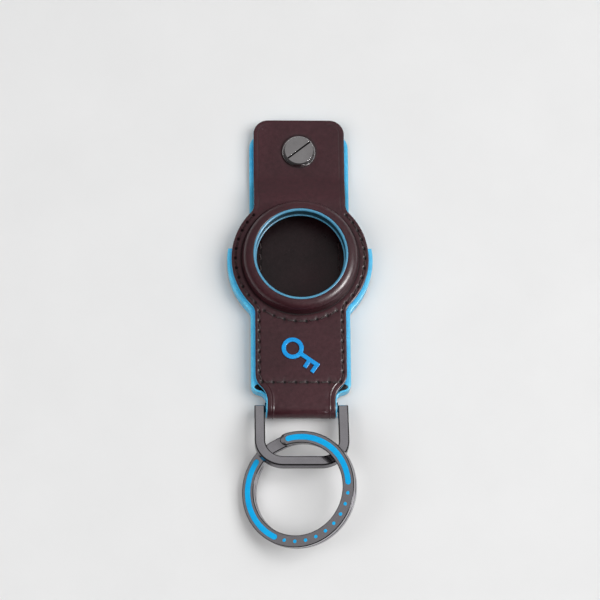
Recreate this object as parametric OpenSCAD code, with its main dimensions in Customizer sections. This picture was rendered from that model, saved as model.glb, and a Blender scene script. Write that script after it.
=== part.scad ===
/* [Front panel] */
// Width of the front tab
tab_w = 27.8; // [24:0.2:30]
// From the disc's centre to the top edge of the front tab
tab_reach = 45.1; // [42:0.1:50]
// Radius of the tab's top corners
tab_corner_r = 4.5; // [2:0.5:7]
// Width of the flat flange round the bezel's foot
flange_w = 3.1; // [2.6:0.1:5]
// Width of the stitched lower part
low_w = 27.4; // [24:0.2:30]
// Radius of the hollow corner between the disc and a straight side
join_r = 3.5; // [1.5:0.5:5]
// From the disc's centre down to where the lower part starts to narrow
shoulder_y = 36; // [33:0.5:40]
// Length of the narrowing shoulder
shoulder_h = 7.8; // [6:0.2:10]
// Width of the neck that folds round the bar
neck_w = 20.5; // [17:0.5:22]

/* [Rear panel] */
// How far the rear panel stands out past the front one on each side
rear_margin = 1.25; // [0.6:0.05:1.6]
// How far the rear tab stops short of the front tab
rear_tab_short = 4; // [2:0.5:6]
// How much smaller the rear panel's upper half disc is, in radius
rear_disc_step = 0.4; // [0.2:0.1:1]
// Height above the disc's centre at which the wide lower half starts
step_y = 3.6; // [2:0.2:5]
// Length of the rear panel's shoulder
rear_shoulder_h = 5.2; // [4:0.2:7]
// How far the rear neck stands out past the front neck on each side
neck_margin = 0.25; // [0.1:0.05:0.4]

/* [Leather] */
// Thickness of the outer leather
leather_t = 1.1; // [0.9:0.1:1.4]
// Thickness of the lining
lining_t = 0.8; // [0.6:0.1:1]
// Thickness of the gusset between the two panels
gusset_t = 3; // [2.8:0.1:4]
// Depth of the paint on the edges
paint_t = 0.3; // [0.2:0.05:0.4]
// Distance of the gusset's lower end from the bar's centre
gusset_gap = 2.1; // [1.9:0.05:3]
// Gap between the closed tabs
tab_gap = 0.2; // [0.1:0.1:0.5]
// Where the front panel's bend starts, from the bezel's foot towards the screw's head
bend_start_share = 0.06; // [0.02:0.02:0.3]
// Where that bend ends
bend_end_share = 0.78; // [0.6:0.02:0.95]

/* [Tag pocket] */
// Diameter of the tag that the pocket takes
tag_d = 31.9; // [30:0.1:33]
// Clearance all round the tag
tag_clear = 0.2; // [0.1:0.05:0.4]
// Height of the pocket under the bezel's lip
pocket_h = 5.3; // [5:0.1:7]
// How far the lip reaches in over the tag
lip_reach = 2.5; // [2:0.1:4]
// Width of the painted rim round the window
rim_w = 0.75; // [0.5:0.05:1]
// Thickness of the stiff ring inside the bezel's lip
core_t = 3.2; // [2:0.1:4]
// Outer rounding of the bezel
bezel_r = 2.6; // [2.2:0.1:3]
// How far the bezel's wall leans out at its foot
bezel_flare = 0.4; // [0:0.05:0.5]
// How far the lower rim's bead stands into the window
rim_bead = 0.3; // [0.1:0.05:0.4]

/* [Stitching] */
// Distance from one stitch to the next
stitch_pitch = 3; // [2.5:0.1:4]
// Length of one stitch
stitch_len = 2.2; // [1.6:0.1:2.4]
// Thickness of the thread
thread_d = 0.5; // [0.4:0.05:0.6]
// Distance of a seam from the painted edge
seam_inset = 1.25; // [1.1:0.05:1.6]
// Depth of the groove that a seam lies in
groove_deep = 0.3; // [0.2:0.05:0.4]
// Distance of the arc seam from the bezel's foot
arc_gap = 2.1; // [1.2:0.1:2.4]
// Distance of each seam inside the pocket from the pocket's side
inner_seam_inset = 4.25; // [3.5:0.05:6]
// Length of each seam inside the pocket
inner_seam_len = 14; // [9:0.5:15]
// From the bottom seam up to the start of the shoulder
bottom_seam_drop = 2.6; // [2:0.2:4]

/* [Binding screw] */
// Distance of the screw below the tab's top edge
screw_inset = 10.2; // [8:0.1:12]
// Diameter of the slotted head
head_d = 10.4; // [8:0.1:11]
// Height of the slotted head
head_h = 1.3; // [1:0.1:2]
// Height of the straight side under the head's bevel
head_rim_h = 0.4; // [0.2:0.05:0.6]
// Width of the bevel round the head
head_bevel = 0.9; // [0.5:0.1:1.4]
// Width of the slot
slot_w = 0.5; // [0.4:0.1:1.2]
// Depth of the slot
slot_deep = 0.6; // [0.4:0.1:0.8]
// Turn of the slot, in degrees
slot_turn = 38; // [0:1:90]
// Diameter of the post's barrel
post_d = 5; // [4.6:0.1:6]
// Diameter of the post's rear head
post_head_d = 9.6; // [8:0.1:11]
// Thickness of the post's rear head
post_head_t = 0.8; // [0.6:0.05:0.9]
// Diameter of the screw's shank
shank_d = 3; // [2.5:0.1:3.5]
// Length of the screw's shank
shank_len = 2.6; // [2:0.1:3]
// Radial clearance of the turning and sliding fits
fit_clear = 0.06; // [0.03:0.01:0.09]

/* [D ring] */
// From the bar's centre to the outside of the bow
dee_len = 20.2; // [18:0.2:22]
// Width of the flat arms
dee_arm = 3.1; // [2.4:0.05:3.6]
// Thickness of the flat arms
dee_t = 2.4; // [2.2:0.1:2.6]
// Outer radius of the bow's corners
dee_corner_r = 8.5; // [6:0.5:10]
// Gap between an arm and the neck
dee_side_gap = 0.4; // [0.15:0.05:0.6]
// How far the arms' square ends reach past the bar's centre
dee_end = 0.2; // [0:0.1:1.4]
// How far the bar is let into each arm
bar_set = 0.2; // [0.1:0.1:1.5]
// How far the outside of the bow is lifted above the bar
dee_rise = 5.74; // [5.5:0.02:6]

/* [Split ring] */
// Outer diameter
ring_d = 34.8; // [32:0.2:38]
// Width of the flat wire
ring_w = 3.6; // [3:0.1:4]
// Thickness of the two turns together
ring_t = 3; // [2.6:0.1:3.1]
// Gap between the two turns
turn_gap = 0.1; // [0.06:0.02:0.2]
// Clearance between the bow and the leaning ring's right side, which lies over it
ring_over = 0.1; // [0.05:0.05:0.3]
// Distance of the ring's centre from the centre line
ring_side = -1; // [-2:0.5:0]
// How far the ring's top reaches up past the outside of the bow
ring_into = 10.9; // [10:0.1:12]
// Angle of the upper turn's free end
end_angle = 110; // [100:1:120]
// Angle over which the wire steps from one turn to the other
ramp_angle = 26; // [24:1:45]
// Inset of each rounded end from the sides that it closes
end_inset = 0.04; // [0.02:0.01:0.1]
// Clear angle between a free end and the step
tip_gap_angle = 3; // [2:0.5:5]
// Run-out of the step's faces into each turn, as an angle
step_run_out = 2; // [1:0.5:2.5]
// Length of each bar of enamel, as an angle
enamel_turn = 97; // [60:1:100]
// Number of dots between the bars
dot_count = 9; // [5:1:12]
// Width of the enamel
enamel_w = 1.7; // [1.2:0.1:2]
// Depth of the enamel
enamel_deep = 0.35; // [0.25:0.05:0.5]
// Diameter of a dot of enamel
dot_d = 1.1; // [0.8:0.1:1.5]

/* [Emblem] */
// Width of the key sign, in the room between the arc seam and the bottom seam
emblem_w_share = 0.68; // [0.5:0.01:0.72]
// Width of its line
emblem_line = 1.3; // [1:0.1:1.6]
// Tilt of the sign
emblem_turn = -35; // [-60:5:0]
// Place of its centre in that room, from the arc seam down
emblem_place_share = 0.544; // [0.45:0.002:0.6]
// Height above the leather
emblem_h = 0.45; // [0.3:0.05:0.8]
// Outer diameter of the key's bow, in widths of the sign
emblem_bow_share = 0.516; // [0.4:0.002:0.55]
// Length of the key's teeth, in widths of the sign
emblem_tooth_share = 0.172; // [0.1:0.002:0.2]

/* [Hidden] */
$fn = 96;

leather_color = [0.26, 0.17, 0.18];
lining_color = [0.16, 0.12, 0.13];
paint_color = [0.25, 0.65, 0.86];
enamel_color = [0.10, 0.62, 0.93];
thread_color = [0.20, 0.12, 0.13];
metal_color = [0.46, 0.45, 0.46];
core_color = [0.30, 0.30, 0.32];

// Overrun of every cut, and the steps of the polygon arcs
over = 5;
corner_steps = 8;
disc_steps = 30;
bend_steps = 12;

// Whole and half turns, in degrees
full_turn = 360;
half_turn = full_turn / 2;
quarter_turn = full_turn / 4;

// Facets of the smallest rounds
thread_fn = 24;
dot_fn = 32;

// Heights, from the table up
ply_t = leather_t + lining_t;
loop_r = gusset_t / 2;
mid_z = ply_t + loop_r;
front_z = mid_z + loop_r + ply_t;
tab_fall = gusset_t - tab_gap;
head_z = front_z - tab_fall;
split_z = ply_t + tab_gap / 2;

// Plan of the strap
pocket_r = tag_d / 2 + tag_clear;
foot_r = pocket_r + leather_t + bezel_flare;
disc_r = foot_r + flange_w;
wide_r = disc_r + rear_margin;
neck_y = -(shoulder_y + shoulder_h);
fold_r = loop_r + ply_t;
bar_y = neck_y - fold_r / 2;
rear_tab_w = tab_w + 2 * rear_margin;
rear_low_w = low_w + 2 * rear_margin;
rear_neck_w = neck_w + 2 * neck_margin;
rear_disc_r = disc_r - rear_disc_step;

// Pocket and bezel, about the disc's axis
window_r = tag_d / 2 - lip_reach;
core_in_r = window_r + paint_t;
lip_r = window_r + rim_w;
lip_z = ply_t + pocket_h;
core_z = lip_z + core_t;
bezel_z = core_z + leather_t;
round_z = bezel_z - bezel_r;
round_r = pocket_r + leather_t - bezel_r;

// Screw, and the bend between it and the bezel
screw_y = tab_reach - screw_inset;
bend_room = screw_y - head_d / 2 - foot_r;
bend_y = foot_r + bend_start_share * bend_room;
bend_len = (bend_end_share - bend_start_share) * bend_room;

// D ring, laid flat about its bar before it is lifted
bar_r = loop_r - fit_clear;
dee_in = rear_neck_w / 2 + dee_side_gap;
dee_out = dee_in + dee_arm;
dee_in_r = dee_corner_r - dee_arm;
dee_lift = asin(dee_rise / dee_len);
bow_y = bar_y - dee_len * cos(dee_lift);
bow_top_z = mid_z + dee_rise + dee_t / 2 * cos(dee_lift);

// Split ring, laid flat about its centre before it leans
ring_r = ring_d / 2;
ring_in_r = ring_r - ring_w;
ring_mid_r = ring_r - ring_w / 2;
turn_t = (ring_t - turn_gap) / 2;
turn_rise = turn_t + turn_gap;
ring_hang = ring_r - ring_into;
ring_reach = ring_r + sqrt(pow(ring_in_r, 2) - pow(ring_hang, 2));
ring_lean = lean_over(ring_t / 2 * lean_share(lean_over(0)));
ring_y = bow_y - ring_hang;
ring_z = ring_r * sin(ring_lean) + ring_t / 2 * cos(ring_lean);
tip_angle = asin(ring_w / 2 / ring_mid_r);
ramp_start = end_angle + tip_gap_angle;
ramp_end = ramp_start + ramp_angle;

// The lean that brings the ring's right side over the bow, and what its thickness adds to it
function lean_over(extra) = asin((bow_top_z + ring_over + extra) / ring_reach);
function lean_share(lean) = 1 / cos(lean) - cos(lean);

// Shapes in plan
function arc(c, r, a0, a1, n) =
  [for (i = [0:n]) let (a = a0 + (a1 - a0) * i / n) c + r * [cos(a), sin(a)]];
function smooth(t) = t * t * (3 - 2 * t);
function reversed(list) = [for (i = [len(list) - 1:-1:0]) list[i]];
function mirrored(list) = [for (p = list) [-p[0], p[1]]];
function without_first(list) = [for (i = [1:len(list) - 1]) list[i]];

// A hollow corner joins a disc of radius r to the straight side of a part of width w
function join_x(w) = w / 2 + join_r;
function join_y(w, r) = sqrt(pow(r + join_r, 2) - pow(join_x(w), 2));
function join_angle(w, r) = atan2(join_y(w, r), join_x(w));

// A shoulder is a round corner and then a hollow one, from half the width w to half the width nw
function shoulder(w, nw, y, h, d) =
  let (
    a = 2 * atan((w - nw) / 2 / h),
    r = h / sin(a) / 2
  )
  concat(
    arc([w / 2 - r, y], r + d, 0, -a, corner_steps),
    without_first(arc([nw / 2 + r, y - h], r - d, half_turn - a, half_turn, corner_steps))
  );

// Right-hand side of an outline, below and above the disc's widest place; d grows it all round
function lower_side(w, nw, r, y, h, from_angle, d) =
  let (a = join_angle(w, r))
  concat(
    arc([0, 0], r + d, from_angle, -a, disc_steps),
    without_first(arc([join_x(w), -join_y(w, r)], join_r - d, half_turn - a, half_turn, corner_steps)),
    shoulder(w, nw, y, h, d)
  );
function upper_side(w, r, top, to_angle, d) =
  let (a = join_angle(w, r))
  concat(
    arc([w / 2 - tab_corner_r, top - tab_corner_r], tab_corner_r + d, quarter_turn, 0, corner_steps),
    arc([join_x(w), join_y(w, r)], join_r - d, half_turn, half_turn + a, corner_steps),
    without_first(arc([0, 0], r + d, a, to_angle, disc_steps))
  );

function step_angle(r, d) = asin((step_y + d) / (r + d));
function front_lower(d) = lower_side(low_w, neck_w, disc_r, -shoulder_y, shoulder_h, 0, d);
function wide_lower(d) =
  let (y = neck_y + rear_shoulder_h)
  lower_side(rear_low_w, rear_neck_w, wide_r, y, rear_shoulder_h, step_angle(wide_r, d), d);
function front_side(d) = concat(upper_side(tab_w, disc_r, tab_reach, 0, d), without_first(front_lower(d)));
function rear_side(d) = concat(
  upper_side(rear_tab_w, rear_disc_r, tab_reach - rear_tab_short, step_angle(rear_disc_r, d), d),
  wide_lower(d)
);

module plan(side) {
  polygon(concat(side, reversed(mirrored(side))));
}

module slab_between(x, y0, y1) {
  translate([-x, y0])
    square([2 * x, y1 - y0]);
}

module both_sides() {
  children();
  mirror([1, 0, 0]) children();
}

module at_screw() {
  translate([0, screw_y, 0]) children();
}

module at_dee() {
  translate([0, bar_y, mid_z])
    rotate([-dee_lift, 0, 0])
      children();
}

module at_ring() {
  translate([ring_side, ring_y, ring_z])
    rotate([0, -ring_lean, 0])
      children();
}

// The strap in side view: a line at the distance r from the middle of the loop
function ply_line(r) = concat(
  [[tab_reach + over, mid_z + r - tab_fall]],
  [
    for (i = [bend_steps:-1:0])
      let (t = i / bend_steps)
      [bend_y + bend_len * t, mid_z + r - tab_fall * smooth(t)]
  ],
  arc([bar_y, mid_z], r, quarter_turn, quarter_turn + half_turn, 2 * corner_steps),
  [[tab_reach + over, mid_z - r]]
);

module ply(r0, r1) {
  rotate([quarter_turn, 0, quarter_turn])
    linear_extrude(2 * (wide_r + over), center = true)
      polygon(concat(ply_line(r1), reversed(ply_line(r0))));
}

// The room that the strap takes in plan, its neck tapering from the rear width to the front one
module strap_room(d) {
  translate([0, 0, split_z])
    linear_extrude(bezel_z)
      plan(front_side(d));
  translate([0, 0, split_z - bezel_z])
    linear_extrude(bezel_z)
      plan(rear_side(d));
  translate([0, neck_y, 0])
    rotate([quarter_turn, 0, 0])
      linear_extrude(fold_r + over)
        neck_section(neck_w / 2 + d, rear_neck_w / 2 + d);
}

module neck_section(front_x, rear_x) {
  right = [[rear_x, -over], [rear_x, ply_t], [front_x, ply_t + gusset_t], [front_x, front_z + over]];
  polygon(concat(right, reversed(mirrored(right))));
}

module pocket_hole() {
  translate([0, 0, mid_z])
    cylinder(r = pocket_r, h = bezel_z);
}

module post_hole() {
  at_screw()
    translate([0, 0, -over])
      cylinder(r = post_d / 2 + fit_clear, h = front_z + 2 * over);
}

// Seams: each is a path, its stitches lie in a groove along it
seam_y = -(shoulder_y + bottom_seam_drop);
side_path = [for (p = front_lower(-seam_inset)) if (p[1] > seam_y) p];
upper_path = arc([0, 0], disc_r - seam_inset, 0, join_angle(tab_w, disc_r), disc_steps);
arc_seam_r = foot_r + arc_gap;
arc_seam_turn = asin((low_w / 2 - seam_inset - stitch_pitch / 2) / arc_seam_r);
arc_path = arc([0, 0], arc_seam_r, -quarter_turn - arc_seam_turn, -quarter_turn + arc_seam_turn, disc_steps);
seam_end = side_path[len(side_path) - 1];
bottom_path = [[-seam_end[0], seam_y], [seam_end[0], seam_y]];
inner_seam_x = pocket_r - inner_seam_inset;
inner_path = [[inner_seam_x, inner_seam_len / 2], [inner_seam_x, -inner_seam_len / 2]];
groove_w = thread_d + paint_t;
stitch_h = thread_d;

function lengths(p) = [
  for (i = 0, s = 0; i < len(p); s = s + (i + 1 < len(p) ? norm(p[i + 1] - p[i]) : 0), i = i + 1) s
];
function direction(p, i) =
  let (v = p[min(i + 1, len(p) - 1)] - p[max(i - 1, 0)]) v / norm(v);
function beside(p, s) = [for (i = [0:len(p) - 1]) let (v = direction(p, i)) p[i] + s * [-v[1], v[0]]];

module groove(path, h) {
  linear_extrude(h)
    polygon(concat(beside(path, groove_w / 2), reversed(beside(path, -groove_w / 2))));
}

module stitch(h) {
  linear_extrude(h) {
    square([stitch_len - thread_d, thread_d], center = true);
    for (side = [-1, 1])
      translate([side * (stitch_len - thread_d) / 2, 0])
        circle(d = thread_d, $fn = thread_fn);
  }
}

module stitches(path, h) {
  run = lengths(path);
  total = run[len(run) - 1];
  count = floor(total / stitch_pitch);
  for (j = [0:count - 1]) {
    s = (j + 1 / 2) * total / count;
    k = max([for (i = [0:len(path) - 2]) if (run[i] <= s) i]);
    v = path[k + 1] - path[k];
    translate(path[k] + v * (s - run[k]) / norm(v))
      rotate(atan2(v[1], v[0]))
        stitch(h);
  }
}

module front_grooves() {
  translate([0, 0, front_z - groove_deep]) {
    both_sides() {
      groove(side_path, over);
      groove(upper_path, over);
    }
    groove(arc_path, over);
    groove(bottom_path, over);
  }
}

module rear_grooves() {
  translate([0, 0, groove_deep - over]) {
    both_sides() groove(side_path, over);
    groove(bottom_path, over);
  }
}

// Leather pieces

module bezel_skin() {
  rotate_extrude()
    polygon(concat(
      [[pocket_r, front_z - leather_t], [foot_r, front_z - leather_t], [foot_r, front_z]],
      arc([round_r, round_z], bezel_r, 0, quarter_turn, corner_steps),
      [[lip_r, bezel_z], [lip_r, core_z]],
      arc([round_r, round_z], bezel_r - leather_t, quarter_turn, 0, corner_steps)
    ));
}

module strap_leather() {
  color(leather_color) {
    difference() {
      intersection() {
        ply(loop_r + lining_t, loop_r + ply_t);
        strap_room(-paint_t);
      }
      pocket_hole();
      post_hole();
      at_screw()
        translate([0, 0, post_head_t - over])
          cylinder(r = post_head_d / 2 + fit_clear, h = over);
      front_grooves();
      rear_grooves();
    }
    bezel_skin();
  }
}

module strap_lining() {
  color(lining_color)
    difference() {
      intersection() {
        ply(loop_r, loop_r + lining_t);
        strap_room(-paint_t);
      }
      pocket_hole();
      post_hole();
      translate([0, 0, ply_t - groove_deep])
        both_sides() groove(inner_path, gusset_t / 2);
    }
}

module strap_edge_paint() {
  color(paint_color)
    intersection() {
      ply(loop_r, loop_r + ply_t);
      difference() {
        strap_room(0);
        strap_room(-paint_t);
      }
    }
}

module gusset_plan(d) {
  intersection() {
    plan(wide_lower(d));
    slab_between(wide_r + over, bar_y + gusset_gap - d, step_y + over);
  }
}

module gusset() {
  color(leather_color)
    translate([0, 0, ply_t])
      linear_extrude(gusset_t)
        difference() {
          gusset_plan(-paint_t);
          circle(r = pocket_r);
        }
}

module gusset_edge_paint() {
  color(paint_color)
    translate([0, 0, ply_t])
      linear_extrude(gusset_t)
        difference() {
          gusset_plan(0);
          gusset_plan(-paint_t);
          circle(r = pocket_r);
        }
}

module bezel_core() {
  color(core_color)
    rotate_extrude()
      polygon(concat(
        [[core_in_r, lip_z], [pocket_r, lip_z]],
        arc([round_r, round_z], bezel_r - leather_t, 0, quarter_turn, corner_steps),
        [[core_in_r, core_z]]
      ));
}

module window_rim_paint() {
  color(paint_color)
    rotate_extrude()
      polygon([
        [window_r, core_z], [lip_r, core_z], [lip_r, bezel_z],
        [window_r + paint_t, bezel_z], [window_r, bezel_z - paint_t]
      ]);
}

module lower_rim_paint() {
  color(paint_color)
    rotate_extrude()
      polygon([
        [window_r - rim_bead, lip_z], [core_in_r, lip_z], [core_in_r, core_z],
        [window_r, core_z], [window_r, lip_z + 2 * paint_t], [window_r - rim_bead, lip_z + paint_t]
      ]);
}

// Stitches

module on_front() {
  color(thread_color)
    translate([0, 0, front_z - groove_deep])
      children();
}

module side_stitches() {
  on_front()
    both_sides() stitches(side_path, stitch_h);
}

module upper_stitches() {
  on_front()
    both_sides() stitches(upper_path, stitch_h);
}

module arc_stitches() {
  on_front() stitches(arc_path, stitch_h);
}

module bottom_stitches() {
  on_front() stitches(bottom_path, stitch_h);
}

module rear_stitches() {
  color(thread_color) {
    both_sides() stitches(side_path, groove_deep);
    stitches(bottom_path, groove_deep);
  }
}

module inner_stitches() {
  color(thread_color)
    translate([0, 0, ply_t - groove_deep])
      both_sides() stitches(inner_path, groove_deep);
}

// A plain key sign: a bow, a shaft and two teeth
emblem_room = -seam_y - arc_seam_r;
emblem_w = emblem_w_share * emblem_room;
emblem_y = -arc_seam_r - emblem_place_share * emblem_room;
emblem_bow_d = emblem_bow_share * emblem_w;
emblem_tooth = emblem_tooth_share * emblem_w;

module emblem() {
  bow_x = emblem_bow_d / 2 - emblem_w / 2;
  color(enamel_color)
    translate([0, emblem_y, front_z])
      rotate(emblem_turn)
        linear_extrude(emblem_h) {
          translate([bow_x, 0])
            difference() {
              circle(d = emblem_bow_d);
              circle(d = emblem_bow_d - 2 * emblem_line);
            }
          translate([bow_x + emblem_bow_d / 2 - emblem_line / 2, -emblem_line / 2])
            square([emblem_w - emblem_bow_d + emblem_line / 2, emblem_line]);
          for (n = [0, 1])
            translate([emblem_w / 2 - emblem_line - 2 * n * emblem_line, -emblem_line / 2 - emblem_tooth])
              square([emblem_line, emblem_tooth + emblem_line / 2]);
        }
}

// Metal pieces

module binding_screw() {
  color(metal_color)
    at_screw()
      translate([0, 0, head_z]) {
        difference() {
          rotate_extrude()
            polygon([
              [0, 0], [head_d / 2, 0], [head_d / 2, head_rim_h],
              [head_d / 2 - head_bevel, head_h], [0, head_h]
            ]);
          translate([0, 0, head_h - slot_deep])
            rotate(slot_turn)
              translate([head_bevel - head_d / 2, -slot_w / 2, 0])
                cube([head_d - 2 * head_bevel, slot_w, over]);
        }
        translate([0, 0, -shank_len])
          cylinder(d = shank_d, h = shank_len);
      }
}

module screw_post() {
  color(metal_color)
    at_screw()
      difference() {
        union() {
          cylinder(d = post_head_d, h = post_head_t);
          cylinder(d = post_d, h = head_z - fit_clear);
        }
        translate([0, 0, post_head_t])
          cylinder(d = shank_d + 2 * fit_clear, h = front_z);
      }
}

module dee_plan(half_w, len, r) {
  slab_between(half_w, r - len, dee_end);
  slab_between(half_w - r, -len, dee_end);
  for (side = [-1, 1])
    translate([side * (half_w - r), r - len])
      circle(r = r);
}

module d_ring() {
  color(metal_color)
    at_dee() {
      linear_extrude(dee_t, center = true)
        difference() {
          dee_plan(dee_out, dee_len, dee_corner_r);
          dee_plan(dee_in, dee_len - dee_arm, dee_in_r);
          slab_between(dee_in, -bar_r, dee_end + over);
        }
      rotate([0, quarter_turn, 0])
        cylinder(r = bar_r, h = 2 * (dee_in + bar_set), center = true);
    }
}

// The part of the ring's room between two angles and two heights
module sector(a0, a1, z0, z1) {
  translate([0, 0, z0])
    linear_extrude(z1 - z0)
      polygon(concat([[0, 0]], arc([0, 0], ring_d, a0, a1, corner_steps)));
}

module wire_tip(a, z0) {
  rotate(a)
    translate([ring_mid_r, 0, z0])
      cylinder(d = ring_w - 2 * end_inset, h = turn_t);
}

// All that lies under the sloping face of the step at the height z over its middle
module under_slope(z) {
  slope = atan(turn_rise / (2 * ring_mid_r * sin(ramp_angle / 2)));
  rotate((ramp_start + ramp_end) / 2)
    rotate([slope, 0, 0])
      translate([-over, -ring_d / 2, z - ring_d])
        cube([ring_d, ring_d, ring_d]);
}

// The rooms over and under the step, each up to the rounded end of a turn
module over_step(tip, from_angle, to_angle) {
  difference() {
    sector(from_angle, to_angle, -turn_gap / 2, over);
    under_slope(turn_t / 2);
    wire_tip(tip, turn_gap / 2);
  }
}

module under_step(tip, from_angle, to_angle) {
  difference() {
    intersection() {
      sector(from_angle, to_angle, -over, turn_gap / 2);
      under_slope(-turn_t / 2);
    }
    wire_tip(tip, -ring_t / 2);
  }
}

module split_ring() {
  upper_tip = end_angle - tip_angle;
  lower_tip = ramp_end + tip_gap_angle + tip_angle;
  color(metal_color)
    at_ring()
      difference() {
        linear_extrude(ring_t, center = true)
          difference() {
            circle(r = ring_r);
            circle(r = ring_in_r);
          }
        sector(ramp_end - full_turn, ramp_start, -turn_gap / 2, turn_gap / 2);
        over_step(upper_tip, upper_tip, ramp_end + step_run_out);
        under_step(lower_tip, ramp_start - step_run_out, lower_tip);
        enamel_bar(top_from, top_to, over);
        enamel_bar(left_from, left_to, over);
        dots(over);
      }
}

// Enamel, flush with the upper turn
top_from = end_angle - tip_angle - tip_gap_angle;
top_to = top_from - enamel_turn;
left_from = ramp_end + 2 * tip_gap_angle;
left_to = left_from + enamel_turn;
dot_step = (full_turn - (left_to - top_to)) / (dot_count + 1);

module enamel_bar(a0, a1, h) {
  translate([0, 0, ring_t / 2 - enamel_deep]) {
    rotate(min(a0, a1))
      rotate_extrude(angle = abs(a1 - a0))
        translate([ring_mid_r - enamel_w / 2, 0])
          square([enamel_w, h]);
    for (a = [a0, a1])
      rotate(a)
        translate([ring_mid_r, 0, 0])
          cylinder(d = enamel_w - 2 * end_inset, h = h);
  }
}

module dots(h) {
  for (i = [1:dot_count])
    rotate(top_to - i * dot_step)
      translate([ring_mid_r, 0, ring_t / 2 - enamel_deep])
        cylinder(d = dot_d, h = h, $fn = dot_fn);
}

module enamel_top() {
  color(enamel_color)
    at_ring() enamel_bar(top_from, top_to, enamel_deep);
}

module enamel_left() {
  color(enamel_color)
    at_ring() enamel_bar(left_from, left_to, enamel_deep);
}

module enamel_dots() {
  color(enamel_color)
    at_ring() dots(enamel_deep);
}

strap_leather();
strap_lining();
strap_edge_paint();
gusset();
gusset_edge_paint();
bezel_core();
window_rim_paint();
lower_rim_paint();
side_stitches();
upper_stitches();
arc_stitches();
bottom_stitches();
rear_stitches();
inner_stitches();
emblem();
binding_screw();
screw_post();
d_ring();
split_ring();
enamel_top();
enamel_left();
enamel_dots();
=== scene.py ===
import math

import bmesh
import bpy
import numpy as np
from mathutils import Matrix, Vector
from mathutils.geometry import delaunay_2d_cdt
from mathutils.kdtree import KDTree


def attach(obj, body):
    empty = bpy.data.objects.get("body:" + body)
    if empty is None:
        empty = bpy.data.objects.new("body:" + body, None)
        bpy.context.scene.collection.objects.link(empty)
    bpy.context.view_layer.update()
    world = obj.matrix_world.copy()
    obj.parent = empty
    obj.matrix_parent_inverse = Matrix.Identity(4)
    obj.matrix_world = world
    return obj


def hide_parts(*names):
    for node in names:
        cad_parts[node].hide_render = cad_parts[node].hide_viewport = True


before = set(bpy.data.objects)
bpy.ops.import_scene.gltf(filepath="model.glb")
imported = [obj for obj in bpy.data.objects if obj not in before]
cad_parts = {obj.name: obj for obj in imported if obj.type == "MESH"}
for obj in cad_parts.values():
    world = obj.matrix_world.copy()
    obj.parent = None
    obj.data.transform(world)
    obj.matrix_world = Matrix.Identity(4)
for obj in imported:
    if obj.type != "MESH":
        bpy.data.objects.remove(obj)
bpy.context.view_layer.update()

MM = 0.001
SEED = 7

# Driving sizes of the part's source, in millimetres
TAB_W = 27.8
TAB_REACH = 45.1
TAB_CORNER_R = 4.5
FLANGE_W = 3.1
LOW_W = 27.4
JOIN_R = 3.5
SHOULDER_Y = 36.0
SHOULDER_H = 7.8
NECK_W = 20.5
REAR_MARGIN = 1.25
REAR_TAB_SHORT = 4.0
REAR_DISC_STEP = 0.4
STEP_Y = 3.6
REAR_SHOULDER_H = 5.2
NECK_MARGIN = 0.25
LEATHER_T = 1.1
LINING_T = 0.8
GUSSET_T = 3.0
PAINT_T = 0.3
TAB_GAP = 0.2
BEND_START_SHARE = 0.06
BEND_END_SHARE = 0.78
TAG_D = 31.9
TAG_CLEAR = 0.2
POCKET_H = 5.3
LIP_REACH = 2.5
RIM_W = 0.75
CORE_T = 3.2
BEZEL_R = 2.6
BEZEL_FLARE = 0.4
STITCH_PITCH = 3.0
SEAM_INSET = 1.25
ARC_GAP = 2.1
INNER_SEAM_INSET = 4.25
INNER_SEAM_LEN = 14.0
BOTTOM_SEAM_DROP = 2.6
SCREW_INSET = 10.2
HEAD_D = 10.4

PLY_T = LEATHER_T + LINING_T
LOOP_R = GUSSET_T / 2
MID_Z = PLY_T + LOOP_R
FOLD_R = LOOP_R + PLY_T
FRONT_Z = MID_Z + FOLD_R
TAB_FALL = GUSSET_T - TAB_GAP
POCKET_R = TAG_D / 2 + TAG_CLEAR
FOOT_R = POCKET_R + LEATHER_T + BEZEL_FLARE
DISC_R = FOOT_R + FLANGE_W
WIDE_R = DISC_R + REAR_MARGIN
LIP_R = TAG_D / 2 - LIP_REACH + RIM_W
CORE_Z = PLY_T + POCKET_H + CORE_T
BEZEL_Z = CORE_Z + LEATHER_T
NECK_Y = -(SHOULDER_Y + SHOULDER_H)
BAR_Y = NECK_Y - FOLD_R / 2
REAR_TAB_W = TAB_W + 2 * REAR_MARGIN
REAR_LOW_W = LOW_W + 2 * REAR_MARGIN
REAR_NECK_W = NECK_W + 2 * NECK_MARGIN
REAR_DISC_R = DISC_R - REAR_DISC_STEP
REAR_REACH = TAB_REACH - REAR_TAB_SHORT
SCREW_Y = TAB_REACH - SCREW_INSET
BEND_ROOM = SCREW_Y - HEAD_D / 2 - FOOT_R
BEND_Y = FOOT_R + BEND_START_SHARE * BEND_ROOM
BEND_LEN = (BEND_END_SHARE - BEND_START_SHARE) * BEND_ROOM
SEAM_Y = -(SHOULDER_Y + BOTTOM_SEAM_DROP)
ARC_SEAM_R = FOOT_R + ARC_GAP
FOLD_LEN = math.pi * FOLD_R

rng = np.random.default_rng(SEED)


# Outlines in plan: the right-hand side as a list of points, grown by d all round

DISC_STEPS, TAB_STEPS, BEND_STEPS, FOLD_STEPS = 48, 14, 8, 25


def arc(centre, r, start, end, steps):
    a = np.radians(np.linspace(start, end, steps + 1))
    return np.column_stack([centre[0] + r * np.cos(a), centre[1] + r * np.sin(a)])


def join(w, r):
    """The fillet between a straight side and the disc: how far it turns, and its centre."""
    x = w / 2 + JOIN_R
    return math.degrees(math.acos(x / (r + JOIN_R))), x, math.sqrt((r + JOIN_R) ** 2 - x * x)


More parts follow.
